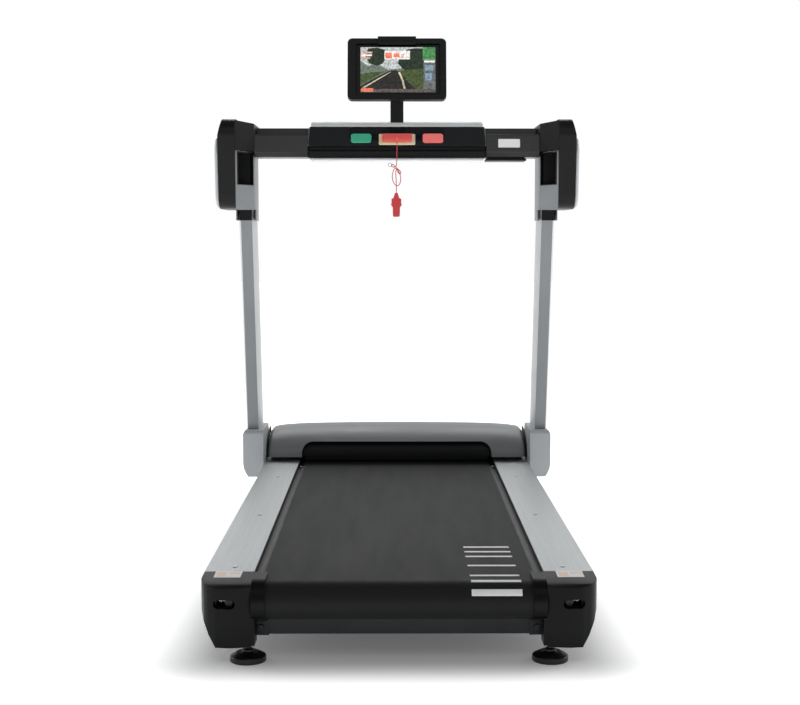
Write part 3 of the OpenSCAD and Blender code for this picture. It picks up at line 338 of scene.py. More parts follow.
# a screw between these heights is on top of a rail
HEADS_FROM, HEADS_TO = 0.1712, 0.178


def rail_material():
    """Brushed aluminium, with painted shade: near-black and not metallic in the narrow step beside
    the belt.
    """
    sh = brushed("rail_brushed", (0.50, 0.515, 0.52), 0.42, (1, 0.006, 1), 300, 0.84, 1.16, 0.0)
    step_shade = zone(sh, ("W", "LESS_THAN", STEP_EDGE))
    # painted shade: the groove of the step beside the belt is coloured near-black
    recolour(sh, step_shade, (0.012, 0.012, 0.013))
    sh.link(sh.calc("SUBTRACT", 1, step_shade), sh.bsdf.inputs["Metallic"])
    return sh.mat


def screw_material():
    """Black oxide, but satin silver for the heads on top of the rails."""
    sh = turned("black_oxide", (0.035, 0.035, 0.038), 0.4)
    heads = zone(sh, ("Z", "GREATER_THAN", HEADS_FROM), ("Z", "LESS_THAN", HEADS_TO))
    return recolour(sh, heads, (0.62, 0.635, 0.64)).mat


def post_material():
    """Satin paint, mid-grey on the flat of the tube, with a painted highlight that makes its
    rounded sides pale.
    """
    sh = painted("post_paint", (0.285, 0.30, 0.31), 0.36, 0.15)
    # painted highlight: the sides that face along X are coloured paler for the light that falls on
    # them
    side_highlight = sh.calc("ABSOLUTE", sh.axes("Normal")["X"])
    return recolour(sh, sh.ramp(side_highlight, 0, 1, 0.25, 0.6), (0.60, 0.62, 0.635)).mat


BLACK = plastic("black_moulded", (0.0075, 0.008, 0.0085), 0.44, Specular_IOR_Level=0.2)
TRAY_BLACK = plastic("tray_moulded", (0.024, 0.0238, 0.0242), 0.36, Specular_IOR_Level=0.5)
CAP_BLACK = plastic("cap_moulded", (0.0045, 0.0049, 0.0049), 0.34, grain=1300,
                    Specular_IOR_Level=0.12)
POD_BLACK = plastic("pod_moulded", (0.0085, 0.0085, 0.0088), 0.42, grain=1500, strength=0.25,
                    Specular_IOR_Level=0.22)
SILVER = plastic("silver_moulded", (0.47, 0.49, 0.505), 0.40, grain=1500, strength=0.2,
                 Metallic=0.3)
NECK = plastic("neck_moulded", (0.275, 0.29, 0.30), 0.42, grain=1500, strength=0.2, Metallic=0.2)
BACK_COVER = plastic("cover_moulded", (0.88, 0.90, 0.91), 0.40, grain=1500, strength=0.2)
HOOD = plastic("hood_moulded", (0.225, 0.235, 0.243), 0.38, grain=1700, strength=0.18,
               Specular_IOR_Level=0.4)
GLOSS = glossy("gloss_panel", (0.012, 0.0135, 0.017), 0.12, 6, 2, Coat_Weight=0.5,
               Coat_Roughness=0.05)
FRAME_PAINT = painted("frame_paint", (0.011, 0.013, 0.0165), 0.42, Specular_IOR_Level=0.3).mat
POST_PAINT_AND_HIGHLIGHT = post_material()
RAIL = rail_material()
STEEL = turned("bright_steel", (0.62, 0.63, 0.65)).mat
OXIDE = screw_material()
ROLLER = turned("roller_steel", (0.55, 0.56, 0.57), 0.3).mat
BELT = belt_material()
DECK = plastic("deck_face", (0.012, 0.012, 0.013), 0.5, grain=2400)
CUSHION = rubber("cushion_rubber", (0.03, 0.03, 0.032))
DRIVE = rubber("drive_rubber", (0.025, 0.025, 0.026), 0.6)
MOTOR = painted("motor_paint", (0.12, 0.125, 0.13), 0.4, metallic=0.3).mat
CONTROLLER = brushed("controller_case", (0.35, 0.36, 0.38), 0.4, (0.01, 1, 1), 315, 0.88, 1.1).mat
BOARD = plastic("circuit_resist", (0.02, 0.15, 0.06), 0.3)
FOOT = rubber("foot_rubber", (0.006, 0.006, 0.007), 0.36)
WHEEL = rubber("wheel_tread", (0.03, 0.03, 0.032), 0.55)
GREEN = plastic("start_green", (0.085, 0.62, 0.36), 0.4)
# painted light: the stop button glows a little, standing for the light that falls on it
RED = plastic("stop_red", (0.95, 0.20, 0.19), 0.4, Emission_Color=(0.9, 0.2, 0.18, 1),
              Emission_Strength=0.28)
YELLOW = plastic("socket_yellow", (1.0, 0.84, 0.55), 0.4)
# painted light: the safety key glows a little, standing for the light that falls on it
KEY_RED = plastic("key_red", (0.80, 0.12, 0.11), 0.3, Emission_Color=(0.8, 0.15, 0.13, 1),
                  Emission_Strength=0.18)
CLIP_RED = plastic("clip_red", (0.72, 0.055, 0.06), 0.36)
BRAID = braid()
TABLET = glossy("tablet_glass", (0.002, 0.002, 0.0024), 0.08, 4, 3, Specular_IOR_Level=0.12)
LABEL = plastic("label_white", (0.93, 0.92, 0.90), 0.5, grain=2200)
LABEL_WARM = plastic("label_warm", (0.95, 0.74, 0.60), 0.5, grain=2200)
STRIPE = rubber("belt_print", (0.90, 0.91, 0.91), 0.55, 900)


# ---------- mesh helpers ----------

def finish_mesh(name, mesh, mats, body, replaced=(), smooth=True):
    """A mesh as a piece that rides on a body and takes a slot's finish."""
    obj = add_object(name, mesh)
    for mat in mats:
        mesh.materials.append(mat)
    for poly in mesh.polygons:
        poly.use_smooth = smooth
    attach(obj, body)
    if replaced:
        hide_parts(*replaced)
    return obj


def from_bmesh(name, bm, mat, body, replaced=(), smooth=True):
    """A bmesh, welded and with its normals outwards, as a piece."""
    bmesh.ops.remove_doubles(bm, verts=bm.verts, dist=1e-6)
    bmesh.ops.recalc_face_normals(bm, faces=bm.faces)
    return finish_mesh(name, mesh_from(name, bm), [mat], body, replaced, smooth)


def bevelled(obj, width):
    """Rounds the sharp edges; a CAD node is welded first, because its corners arrive split."""
    weld = obj.modifiers.new("weld", "WELD")
    weld.merge_threshold = 1e-5
    flat = obj.modifiers.new("flat", "DECIMATE")
    flat.decimate_type = "DISSOLVE"
    flat.angle_limit = math.radians(0.4)
    bevel = obj.modifiers.new("bevel", "BEVEL")
    bevel.width = width
    bevel.segments = 3
    bevel.limit_method = "ANGLE"
    bevel.angle_limit = math.radians(32)
    bevel.miter_outer = "MITER_ARC"
    shade = obj.modifiers.new("shade", "WEIGHTED_NORMAL")
    shade.keep_sharp = False
    shade.weight = 50


def dress(node, mat, bevel):
    """Gives a CAD node its material and, where asked, soft edges."""
    obj = NODES[node]
    if not obj.material_slots:
        obj.data.materials.append(mat)
    for slot in obj.material_slots:
        slot.material = mat
    if bevel:
        custom = obj.data.attributes.get("custom_normal")
        if custom:
            obj.data.attributes.remove(custom)
        for poly in obj.data.polygons:
            poly.use_smooth = True
        bevelled(obj, bevel)


# ---------- CAD nodes that keep their shape ----------

DRESS = {
    "frame_members": (FRAME_PAINT, 0.0025), "rear_crossmember": (FRAME_PAINT, 0.0015),
    "crossmembers": (FRAME_PAINT, 0.0015), "running_deck": (DECK, 0.001),
    "deck_cushions": (CUSHION, 0.001), "running_belt": (BELT, None),
    "roller_axles": (STEEL, 0.0006), "rear_roller": (ROLLER, 0.0008),
    "rear_bearings": (STEEL, None), "front_roller": (ROLLER, 0.0008),
    "front_bearings": (STEEL, None), "drive_belt": (DRIVE, None),
    "drive_motor": (MOTOR, 0.0012), "motor_flywheel": (STEEL, 0.0008),
    "motor_controller": (CONTROLLER, 0.001), "base_pan": (FRAME_PAINT, 0.001),
    "hood_skirt": (BLACK, 0.001),
    "foot_rails": (RAIL, 0.0009), "end_caps": (CAP_BLACK, 0.0035),
    "rear_foot_left": (FOOT, 0.002), "rear_foot_right": (FOOT, 0.002),
    "fasteners": (OXIDE, 0.0005), "bracket_covers": (SILVER, 0.006),
    "post_left": (POST_PAINT_AND_HIGHLIGHT, None), "post_right": (POST_PAINT_AND_HIGHLIGHT, None),
    "neck_housing_left": (NECK, 0.0016), "neck_housing_right": (NECK, 0.0016),
    "neck_collars": (BLACK, 0.0015), "pocket_liners": (BLACK, 0.001),
    "pod_shell_left": (POD_BLACK, 0.006), "pod_shell_right": (POD_BLACK, 0.006),
    "console_beam": (FRAME_PAINT, 0.001),
    "side_tray_left": (TRAY_BLACK, 0.0022), "side_tray_right": (TRAY_BLACK, 0.0022),
    "console_body": (BLACK, 0.0005), "console_panel": (GLOSS, 0.0008),
    "console_back_cover": (BACK_COVER, 0.003), "console_board": (BOARD, None),
    "sensor_box": (BLACK, 0.0012), "start_button": (GREEN, 0.0014),
    "stop_button": (RED, 0.0014), "key_socket": (YELLOW, 0.0008),
    "safety_key": (KEY_RED, 0.0012), "clip_body": (CLIP_RED, 0.0012),
    "clip_lever": (CLIP_RED, 0.0006), "tablet_stem": (BLACK, 0.0012),
    "tablet_holder": (BLACK, 0.003), "holder_clamp": (BLACK, 0.0012),
    "tablet": (TABLET, 0.0005), "lift_frame": (FRAME_PAINT, 0.0012),
    "actuator_body": (MOTOR, 0.0012), "actuator_rod": (STEEL, 0.0008),
    "wheel_left": (WHEEL, 0.0015), "wheel_right": (WHEEL, 0.0015),
    "power_inlet": (BLACK, 0.0006), "power_switch": (GLOSS, 0.0005),
}
for node, (mat, width) in DRESS.items():
    dress(node, mat, width)


# ---------- the lanyard's cord ----------

def tube_mesh(path, radius, sides=10):
    """A closed tube along a path, without twist."""
    bm = bmesh.new()
    rings = []
    side = Vector((0, 1, 0))
    for i, p in enumerate(path):
        a, b = path[max(i - 1, 0)], path[min(i + 1, len(path) - 1)]
        t = (b - a).normalized()
        side = (side - t * side.dot(t)).normalized()
        up = t.cross(side)
        rings.append([bm.verts.new(p + radius * (math.cos(TAU * k / sides) * side
                                                 + math.sin(TAU * k / sides) * up))
                      for k in range(sides)])
    for a, b in zip(rings, rings[1:]):
        for k in range(sides):
            n = (k + 1) % sides
            bm.faces.new((a[k], a[n], b[n], b[k]))
    bm.faces.new(list(reversed(rings[0])))
    bm.faces.new(rings[-1])
    return bm


route = lanyard_path()
lanyard = from_bmesh("lanyard", tube_mesh(route, CORD_D / 2), BRAID, "safety_key",
                     ["lanyard_cord", "lanyard_hank"])


def torus(centre, major, minor, axis_a, axis_b, n=28, m=10):
    """A closed ring lying in the plane of two axes."""
    a, b = Vector(axis_a).normalized(), Vector(axis_b).normalized()
    out = a.cross(b)
    bm = bmesh.new()
    loops = []
    for i in range(n):
        t = TAU * i / n
        radial = math.cos(t) * a + math.sin(t) * b
        hub = Vector(centre) + major * radial
        loops.append([bm.verts.new(hub + minor * (math.cos(TAU * k / m) * radial
                                                  + math.sin(TAU * k / m) * out))
                      for k in range(m)])
    for i in range(n):
        c, d = loops[i], loops[(i + 1) % n]
        for k in range(m):
            e = (k + 1) % m
            bm.faces.new((c[k], d[k], d[e], c[e]))
    return bm


split_ring = torus((-0.0195, 0.2215, 1.0785), 0.0055, 0.0009, (1, 0, 0), (0, 0.2, 1))
from_bmesh("lanyard_ring", split_ring, STEEL, "safety_key")


# ---------- pieces that stand for a CAD node ----------

def ring_skin(rings):
    """Quads between rings of equally many points, with an n-gon over each end."""
    bm = bmesh.new()
    made = [[bm.verts.new(p) for p in ring] for ring in rings]
    for a, b in zip(made, made[1:]):
        n = len(a)
        for i in range(n):
            m = (i + 1) % n
            bm.faces.new((a[i], a[m], b[m], b[i]))
    bm.faces.new(list(reversed(made[0])))
    bm.faces.new(made[-1])
    return bm


def rounded(points, r, n=8):
    """Outline of a convex polygon grown by r, in the way part.scad draws it."""
    out = []
    count = len(points)
    for i, p in enumerate(points):
        before, after = points[i - 1], points[(i + 1) % count]
        a0 = math.atan2(p[1] - before[1], p[0] - before[0]) - math.pi / 2
        a1 = math.atan2(after[1] - p[1], after[0] - p[0]) - math.pi / 2
        while a1 < a0:
            a1 += TAU
        for k in range(n + 1):
            a = a0 + (a1 - a0) * k / n
            out.append((p[0] + r * math.cos(a), p[1] + r * math.sin(a)))
    return out


POD_FACE, COVER_FACE = 0.506, 0.518     # |X| of the pod's side and of its cover's middle
COVER_R = 0.042
COVER_CORNERS = [(0.235, 0.998), (0.425, 0.998), (0.4038, 1.114), (0.2209, 1.114)]
# how far out and how far in from the edge each ring of the cover's crown is
COVER_CROWN = [
    (0, 0), (0.0035, 0), (0.0058, 0.0006), (0.0078, 0.0022), (0.0093, 0.005), (0.0103, 0.009),
    (0.011, 0.015), (0.0115, 0.023), (0.0118, 0.032),
]


def pod_cover(side):
    """Crowned cover on the outer side of a pod."""
    cy = sum(c[0] for c in COVER_CORNERS) / 4
    cz = sum(c[1] for c in COVER_CORNERS) / 4
    rings = []
    for out, inset in COVER_CROWN:
        rings.append([(side * (POD_FACE + out), y, z)
                      for y, z in rounded(COVER_CORNERS, COVER_R - inset)])
    last = rounded(COVER_CORNERS, 0.010)
    for k in (0.6, 0.25):
        rings.append([(side * (COVER_FACE - 0.0001 * k), cy + k * (y - cy), cz + k * (z - cz))
                      for y, z in last])
    return ring_skin(rings)


def pod_covers():
    """Both covers as one piece."""
    bm = bmesh.new()
    for side, _ in SIDES:
        mesh = mesh_from("half", pod_cover(side))
        bm.from_mesh(mesh)
        bpy.data.meshes.remove(mesh)
    from_bmesh("pod_covers_crowned", bm, SILVER, "machine", ["pod_covers"])


pod_covers()


def applied(obj):
    """Turns an object's modifiers into its mesh."""
    graph = bpy.context.evaluated_depsgraph_get()
    mesh = bpy.data.meshes.new_from_object(obj.evaluated_get(graph))
    old = obj.data
    obj.modifiers.clear()
    obj.data = mesh
    bpy.data.meshes.remove(old)


def cutter(outline, low, high):
    """A prism along Y for a boolean cut, its outline in X and Z."""
    bm = ring_skin([[(x, y, z) for x, z in outline] for y in (low, high)])
    bmesh.ops.recalc_face_normals(bm, faces=bm.faces)
    return add_object("cut", mesh_from("cut", bm))


HOOD_HALF, HOOD_EDGE_R, HOOD_WALL = 0.405, 0.013, 0.0035
HOOD_REAR, CREST_Y, HOOD_FRONT = 0.550, 0.700, 1.0
HEM_Z, NOSE_Z, RAIL_TOP, CREST_Z = 0.066, 0.150, 0.184, 0.273
SIDE_REAR = 0.658       # Y where the hood's side steps down past the rail
MOUTH = [(-0.264, 0.14), (0.264, 0.14), (0.264, 0.196), (-0.264, 0.196)]
INLET = [(0.226, 0.094), (0.316, 0.094), (0.316, 0.126), (0.226, 0.126)]


def hood_profile(inset):
    """Y and Z of the hood's section, from the hem in front over the crest to the rail."""
    pts = [(HOOD_FRONT - inset, z) for z in (HEM_Z, 0.11, NOSE_Z)]
    for k in range(1, 19):
        a = math.radians(90 * k / 18)
        pts.append((CREST_Y + (HOOD_FRONT - CREST_Y - inset) * math.cos(a),
                    NOSE_Z + (CREST_Z - NOSE_Z - inset) * math.sin(a)))
    for k in range(1, 15):
        a = math.radians(90 + 90 * k / 14)
        pts.append((CREST_Y + (CREST_Y - HOOD_REAR - inset) * math.cos(a),
                    RAIL_TOP + (CREST_Z - RAIL_TOP - inset) * math.sin(a)))
    return pts


def hood_crown(x, y, z):
    """Height of the crowned hood, which falls away slowly and then fast towards each end."""
    base = RAIL_TOP if y < CREST_Y else NOSE_Z
    if z <= base:
        return z
    u = abs(x) / HOOD_HALF
    drop = 0.0032 + 0.0062 * u * u + 0.0085 * u ** 9
    return z - drop * (z - base) / (CREST_Z - base)


def motor_hood():
    """Crowned cover over the motor, with the cut-out that the belt runs into."""
    half, r = HOOD_HALF, HOOD_EDGE_R
    stations = []
    for k in range(7):
        a = math.pi / 2 * k / 6
        stations.append((-half + r * (1 - math.cos(a)), r * (1 - math.sin(a))))
    inner = [(-half + r + (2 * half - 2 * r) * k / 36, 0.0) for k in range(1, 36)]
    stations += inner + [(-x, inset) for x, inset in reversed(stations)]
    bm = bmesh.new()
    rows = []
    for x, inset in stations:
        rows.append([bm.verts.new((x, y, hood_crown(x, y, z))) for y, z in hood_profile(inset)])
    for a, b in zip(rows, rows[1:]):
        for i in range(len(a) - 1):
            bm.faces.new((a[i], b[i], b[i + 1], a[i + 1]))
    # side walls: down to the hem in front, and to the top of the rail behind
    for row in (rows[0], rows[-1]):
        x = row[0].co.x
        bm.faces.new(row + [bm.verts.new((x, SIDE_REAR, z)) for z in (RAIL_TOP, HEM_Z)])
    bmesh.ops.recalc_face_normals(bm, faces=bm.faces)
    obj = finish_mesh("motor_hood_crowned", mesh_from("hood", bm), [HOOD], "machine",
                      ["motor_hood"])
    wall = obj.modifiers.new("wall", "SOLIDIFY")
    wall.thickness = HOOD_WALL
    wall.offset = -1
    tools = (cutter(rounded(MOUTH, 0.034, 10), 0.5, 0.66), cutter(INLET, 0.98, 1.02))
    for tool in tools:
        cut = obj.modifiers.new("cut", "BOOLEAN")
        cut.operation = "DIFFERENCE"
        cut.solver = "EXACT"
        cut.object = tool
    applied(obj)
    for tool in tools:
        bpy.data.objects.remove(tool)
    shade = obj.modifiers.new("edges", "EDGE_SPLIT")
    shade.split_angle = math.radians(40)


motor_hood()


# ---------- printed, stuck-on and trim pieces ----------

def slab(name, outline, place, depth, mat, bevel):
    """A thin piece: outline drawn in two axes, placed by a matrix, depth along its own z."""
    rings = [[place @ Vector((x, y, z)) for x, y in outline] for z in (0, depth)]
    obj = from_bmesh(name, ring_skin(rings), mat, "machine", smooth=False)
    if bevel:
        soft = obj.modifiers.new("soft", "BEVEL")
        soft.width = bevel
        soft.segments = 2
        soft.limit_method = "ANGLE"


def corners(x0, y0, x1, y1, r=0.002):
    """Outline of a rectangle with small round corners."""
    return rounded([(x0 + r, y0 + r), (x1 - r, y0 + r), (x1 - r, y1 - r), (x0 + r, y1 - r)], r, 4)


def arc(y, z, ry, rz, count=14):
    """Points on the quarter of an ellipse that the hood's rear edge follows."""
    angles = [math.radians(92 + 88 * k / count) for k in range(count + 1)]
    return [(y + ry * math.cos(a), z + rz * math.sin(a)) for a in angles]


def upright(side, x):
    """Places an outline in Y and Z at side * x, with its depth outwards."""
    return Matrix(((0, 0, side, side * x), (1, 0, 0, 0), (0, 1, 0, 0), (0, 0, 0, 1)))


# the rear roller's axis and the outside of the belt on it
ROLLER_Y, ROLLER_Z, BELT_R = -0.955, 0.126, 0.0403
MARK_LEFT, MARK_RIGHT = 0.1485, 0.2525
# each line's middle, in metres behind the top of the roller, and its width
MARKS = [
    (-0.3089, 0.013), (-0.2618, 0.013), (-0.2153, 0.013), (-0.1293, 0.013), (-0.0407, 0.013),
    (0.0045, 0.013), (0.0390, 0.0148),
]


def belt_marks():
    """White lines printed across the belt, the last one on the turn round the roller."""
    bm = bmesh.new()

    def on_belt(s):
        """Point on the belt's outside, s metres behind the top of the roller."""
        if s <= 0:
            return ROLLER_Y - s, ROLLER_Z + BELT_R
        turn = s / BELT_R
        return ROLLER_Y - BELT_R * math.sin(turn), ROLLER_Z + BELT_R * math.cos(turn)

    for centre, width in MARKS:
        loops = []
        for k in range(9):
            y, z = on_belt(centre + width * (k / 8 - 0.5))
            loops.append([bm.verts.new((MARK_LEFT + (MARK_RIGHT - MARK_LEFT) * c / 24, y, z))
                          for c in range(25)])
        for a, b in zip(loops, loops[1:]):
            for i in range(24):
                bm.faces.new((a[i], a[i + 1], b[i + 1], b[i]))
    obj = from_bmesh("belt_marks", bm, STRIPE, "machine")
    film = obj.modifiers.new("film", "SOLIDIFY")
    film.thickness = 0.0002
    film.offset = -1


belt_marks()

LABEL_T = 0.0004
# height and radius of each ring of a screw's head, down into its recess
SCREW_HEAD = [
    (0, 0.0042), (0.0032, 0.0042), (0.0046, 0.0036), (0.0054, 0.0024), (0.0055, 0.0014),
    (0.004, 0.0012),
]
TRIM = [(0.2352, 1.1335), (0.2359, 1.1328), (0.2905, 1.1868), (0.2895, 1.1886), (0.2865, 1.1886)]


def step_screw(side, tag):
    """Bright screw beside the belt, just behind the motor cover."""
    x, y, z = side * 0.2990, 0.506, 0.158
    rings = [[(x + r * math.cos(TAU * k / 20), y + r * math.sin(TAU * k / 20), z + out)
              for k in range(20)] for out, r in SCREW_HEAD]
    from_bmesh("step_screw_" + tag, ring_skin(rings), STEEL, "machine")


for side, tag in SIDES:
    # blank stickers on top of the caps, which fall away a little to the rear
    on_cap = (Matrix.Translation((side * 0.3575, -0.925, 0.17145))
              @ Matrix.Rotation(math.radians(1.72), 4, "X"))
    on_label = on_cap @ Matrix.Translation((0, 0, LABEL_T))
    sticker = corners(-0.028, -0.0235, 0.028, 0.0235)
    slab("cap_label_" + tag, sticker, on_cap, LABEL_T, LABEL, 0.0001)
    for name, box in (("cap_label_patch_", (-0.024, -0.018, -0.004, 0.018)),
                      ("cap_label_band_", (0.001, 0.002, 0.024, 0.018))):
        slab(name + tag, corners(*box), on_label, 0.0001, LABEL_WARM, 0)
    step_screw(side, tag)
    # light trim down each end of the sloping panel
    slab("panel_trim_" + tag, TRIM, upright(side, 0.2531), 0.0016, SILVER, 0.0004)
    # painted shade: a dark strip that stands for the shade in the gap between the motor cover and
    # the cover at the foot of the post
    outer = arc(CREST_Y, RAIL_TOP, 0.147, 0.079)
    inner = arc(CREST_Y, RAIL_TOP, 0.128, 0.062)
    slab("hood_gap_shade_" + tag, outer + inner[::-1], upright(side, 0.4052), 0.0045, BLACK, 0.0006)

for side, tag in SIDES:
    # painted shade: a dark sheet inside each cap, standing for the shade there, that keeps light
    # out of the rail behind the slot
    in_cap = Matrix(((1, 0, 0, side * 0.3905), (0, 0, 1, -0.908), (0, 1, 0, 0.130), (0, 0, 0, 1)))
    slab("cap_shade_sheet_" + tag, corners(-0.0135, -0.040, 0.0135, 0.030), in_cap, 0.006, BLACK, 0.0008)

# blank rating label on the right-hand tray's lip
on_tray = Matrix(((1, 0, 0, 0), (0, 0, -1, 0.2379), (0, 1, 0, 0), (0, 0, 0, 1)))
slab("tray_label", corners(0.290, 1.1290, 0.352, 1.1530), on_tray, LABEL_T, LABEL, 0.0001)


# ---------- the picture on the tablet ----------

TILT = math.radians(12)
ON_HOLDER = (Matrix.Translation((0.003, 0.292, 1.351))
             @ Matrix.Rotation(math.radians(90) - TILT, 4, "X"))
SCREEN_W, SCREEN_H = 0.216, 0.134
GLASS_OUT, LAYER_GAP = 0.01225, 2e-5


def picture():
    """A quiet road between trees with blank read-out boxes; the layers lie a hair apart."""
    sky = glow("picture_sky", (0.40, 0.43, 0.42), 0.8)
    haze = glow("picture_haze", (0.13, 0.16, 0.13), 0.7)
    tree = glow("picture_trees", (0.022, 0.032, 0.022), 0.8)
    grass = glow("picture_grass", (0.055, 0.075, 0.03), 0.8)
    road = glow("picture_road", (0.022, 0.022, 0.021), 0.8)
    line = glow("picture_line", (0.50, 0.44, 0.33), 0.7)
    white = glow("picture_white", (0.66, 0.65, 0.63), 0.8)
    orange = glow("picture_orange", (0.66, 0.17, 0.10), 0.8)
    rose = glow("picture_rose", (0.56, 0.33, 0.29), 0.7)
    green = glow("picture_green", (0.06, 0.20, 0.07), 0.8)
    column = glow("picture_column", (0.11, 0.12, 0.12), 0.8)
    blue = glow("picture_blue", (0.17, 0.24, 0.30), 0.8)
    bar = glow("picture_bar", (0.10, 0.085, 0.075), 0.7)
    layers = [
        (sky, [(0, 0), (1, 0), (1, 1), (0, 1)]),
        (haze, [(0, 0.30), (0.10, 0.42), (0.22, 0.36), (0.36, 0.50), (0.60, 0.46), (0.84, 0.42),
                (0.84, 0.98), (0, 0.98)]),
        (tree, [(0.10, 0.03), (0.22, 0.01), (0.33, 0.06), (0.35, 0.22), (0.30, 0.36), (0.22, 0.42),
                (0.12, 0.36), (0.07, 0.2)]),
        (tree, [(0.52, 0.22), (0.62, 0.05), (0.74, 0.02), (0.84, 0.03), (0.84, 0.52), (0.66, 0.56),
                (0.56, 0.48), (0.50, 0.36)]),
        (grass, [(0.52, 0.52), (0.66, 0.50), (0.84, 0.48), (0.84, 0.93), (0.60, 0.93),
                 (0.50, 0.62)]),
        (grass, [(0, 0.60), (0.14, 0.56), (0.32, 0.54), (0.20, 0.66), (0, 0.84)]),
        (road, [(0, 0.86), (0.22, 0.66), (0.38, 0.53), (0.46, 0.51), (0.52, 0.55), (0.60, 0.72),
                (0.74, 0.93), (0, 0.93)]),
        (line, [(0.02, 0.90), (0.26, 0.67), (0.40, 0.545), (0.405, 0.555), (0.28, 0.68),
                (0.06, 0.90)]),
        (line, [(0.50, 0.55), (0.53, 0.56), (0.575, 0.74), (0.60, 0.92), (0.575, 0.92),
                (0.55, 0.74)]),
        (rose, [(0, 0.10), (0.16, 0.10), (0.16, 0.14), (0, 0.14)]),
        (white, [(0, 0.16), (0.15, 0.16), (0.15, 0.20), (0, 0.20)]),
        (rose, [(0, 0.22), (0.13, 0.22), (0.13, 0.26), (0, 0.26)]),
        (white, [(0.32, 0.08), (0.66, 0.08), (0.66, 0.27), (0.32, 0.27)]),
        (orange, [(0.33, 0.12), (0.42, 0.12), (0.42, 0.25), (0.33, 0.25)]),
        (orange, [(0.44, 0.14), (0.52, 0.14), (0.52, 0.23), (0.44, 0.23)]),
        (rose, [(0.54, 0.15), (0.58, 0.15), (0.58, 0.23), (0.54, 0.23)]),
        (green, [(0.83, 0), (1, 0), (1, 0.28), (0.83, 0.28)]),
        (column, [(0.84, 0.29), (1, 0.29), (1, 0.93), (0.84, 0.93)]),
        (white, [(0.85, 0.30), (0.99, 0.30), (0.99, 0.34), (0.85, 0.34)]),
        (blue, [(0.86, 0.40), (0.97, 0.40), (0.97, 0.52), (0.86, 0.52)]),
        (blue, [(0.86, 0.58), (0.95, 0.58), (0.95, 0.74), (0.86, 0.74)]),
        (bar, [(0, 0.93), (1, 0.93), (1, 1), (0, 1)]),
        (orange, [(0.01, 0.91), (0.17, 0.91), (0.17, 0.99), (0.01, 0.99)]),
    ]
    bm = bmesh.new()
    mats = []
    for level, (mat, outline) in enumerate(layers):
        if mat not in mats:
            mats.append(mat)
        out = GLASS_OUT + level * LAYER_GAP
        face = bm.faces.new([
            bm.verts.new(ON_HOLDER @ Vector(((x - 0.5) * SCREEN_W, (0.5 - y) * SCREEN_H, out)))
            for x, y in outline])
        face.material_index = mats.index(mat)
        face.normal_update()
        if face.normal.y > 0:
            face.normal_flip()
    finish_mesh("tablet_picture", mesh_from("tablet_picture", bm), mats, "tablet_holder",
                smooth=False)


picture()


# ---------- studio ----------

FOOTPRINT = (0.36, 0.96, 0)             # half sizes that the floor's shade is kept to
FLOOR_GLOW = (0.0, 0.26, 0.105, 1.0)    # metres beyond them, and the strength there
ROOM_FRONT, ROOM_BACK, ROOM_TOP = 0.30, 0.75, 0.2
# name, place, aim, size and watts
LIGHTS = [
    ("left", (-3.2, 0.7, 2.4), (0, 0.1, 0.5), (1.6, 3.0), 36),
    ("right", (3.2, 0.7, 2.4), (0, 0.1, 0.5), (1.6, 3.0), 44),
    ("behind", (0, 3.4, 2.9), (0, 0.2, 0.4), (3.6, 1.4), 36),
    ("front", (0.3, -3.6, 4.2), (0, -0.2, 0.3), (3.0, 1.6), 18),
]


def floor_material():
    """White paper with painted light: a glow that lifts the shade near the machine's footprint a
    little and brightens it into the backdrop away from the footprint.
    """
    sh = Shader("floor_paper", (0.90, 0.90, 0.90), 0.8, Specular_IOR_Level=0.2)
    spread = sh.node("ShaderNodeVectorMath", operation="ABSOLUTE")
    sh.link(sh.coords((1, 1, 0)), spread.inputs[0])
    beyond = sh.node("ShaderNodeVectorMath", operation="SUBTRACT")
    beyond.inputs[1].default_value = FOOTPRINT
    sh.link(spread.outputs[0], beyond.inputs[0])
    clear = sh.node("ShaderNodeVectorMath", operation="MAXIMUM")
    clear.inputs[1].default_value = (0, 0, 0)
    sh.link(beyond.outputs[0], clear.inputs[0])
    reach = sh.node("ShaderNodeVectorMath", operation="LENGTH")
    sh.link(clear.outputs[0], reach.inputs[0])
    strength = map_range(sh.tree, reach.outputs["Value"], FLOOR_GLOW, "SMOOTHSTEP")
    sh.bsdf.inputs["Emission Color"].default_value = (1, 1, 1, 1)
    sh.link(strength, sh.bsdf.inputs["Emission Strength"])
    return sh.mat


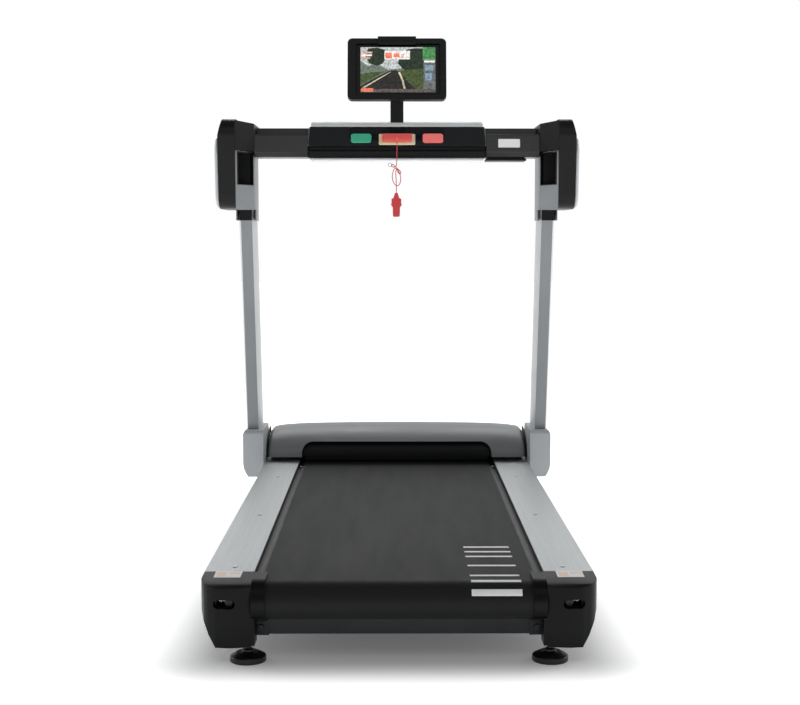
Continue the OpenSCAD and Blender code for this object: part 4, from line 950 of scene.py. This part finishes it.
def make_floor(rings=40, sides=96):
    """A round sheet of rings that widen outwards."""
    bm = bmesh.new()
    made = []
    for k in range(rings):
        r = 0.05 * 1.17 ** k
        made.append([bm.verts.new((r * math.cos(TAU * i / sides), r * math.sin(TAU * i / sides), 0))
                     for i in range(sides)])
    bm.faces.new(made[0])
    for a, b in zip(made, made[1:]):
        for i in range(sides):
            m = (i + 1) % sides
            bm.faces.new((a[i], a[m], b[m], b[i]))
    floor = add_object("floor", mesh_from("floor", bm))
    floor.data.materials.append(floor_material())


def make_world():
    """White to the camera; to the object, a room that is dim in front of it and overhead."""
    world = bpy.data.worlds.new("studio")
    SCENE.world = world
    world.use_nodes = True
    tree = world.node_tree
    tree.nodes.clear()
    out = tree.nodes.new("ShaderNodeOutputWorld")
    mix = tree.nodes.new("ShaderNodeMixShader")
    backdrop = tree.nodes.new("ShaderNodeBackground")
    room = tree.nodes.new("ShaderNodeBackground")
    path = tree.nodes.new("ShaderNodeLightPath")
    coord = tree.nodes.new("ShaderNodeTexCoord")
    split = tree.nodes.new("ShaderNodeSeparateXYZ")
    level = tree.nodes.new("ShaderNodeMath")
    backdrop.inputs["Color"].default_value = (1, 1, 1, 1)
    backdrop.inputs["Strength"].default_value = 1.0
    room.inputs["Color"].default_value = (0.97, 0.985, 1.0, 1)
    level.operation = "MULTIPLY"
    depth = map_range(tree, split.outputs["Y"], (-0.9, 0.9, ROOM_FRONT, ROOM_BACK), "SMOOTHSTEP")
    height = map_range(tree, split.outputs["Z"], (0.1, 0.95, 1.0, ROOM_TOP), "SMOOTHSTEP")
    for a, b in ((coord.outputs["Generated"], split.inputs["Vector"]),
                 (depth, level.inputs[0]),
                 (height, level.inputs[1]),
                 (level.outputs[0], room.inputs["Strength"]),
                 (path.outputs["Is Camera Ray"], mix.inputs["Fac"]),
                 (room.outputs["Background"], mix.inputs[1]),
                 (backdrop.outputs["Background"], mix.inputs[2]),
                 (mix.outputs["Shader"], out.inputs["Surface"])):
        tree.links.new(a, b)


def make_light(name, place, aim, size, power):
    light = bpy.data.lights.new(name, "AREA")
    light.shape = "RECTANGLE"
    light.size, light.size_y = size
    light.energy = power
    obj = add_object(name, light)
    obj.location = place
    obj.rotation_mode = "QUATERNION"
    obj.rotation_quaternion = (Vector(aim) - Vector(place)).to_track_quat("-Z", "Y")


make_floor()
make_world()
for light in LIGHTS:
    make_light(*light)
SCENE.view_settings.view_transform = "Standard"
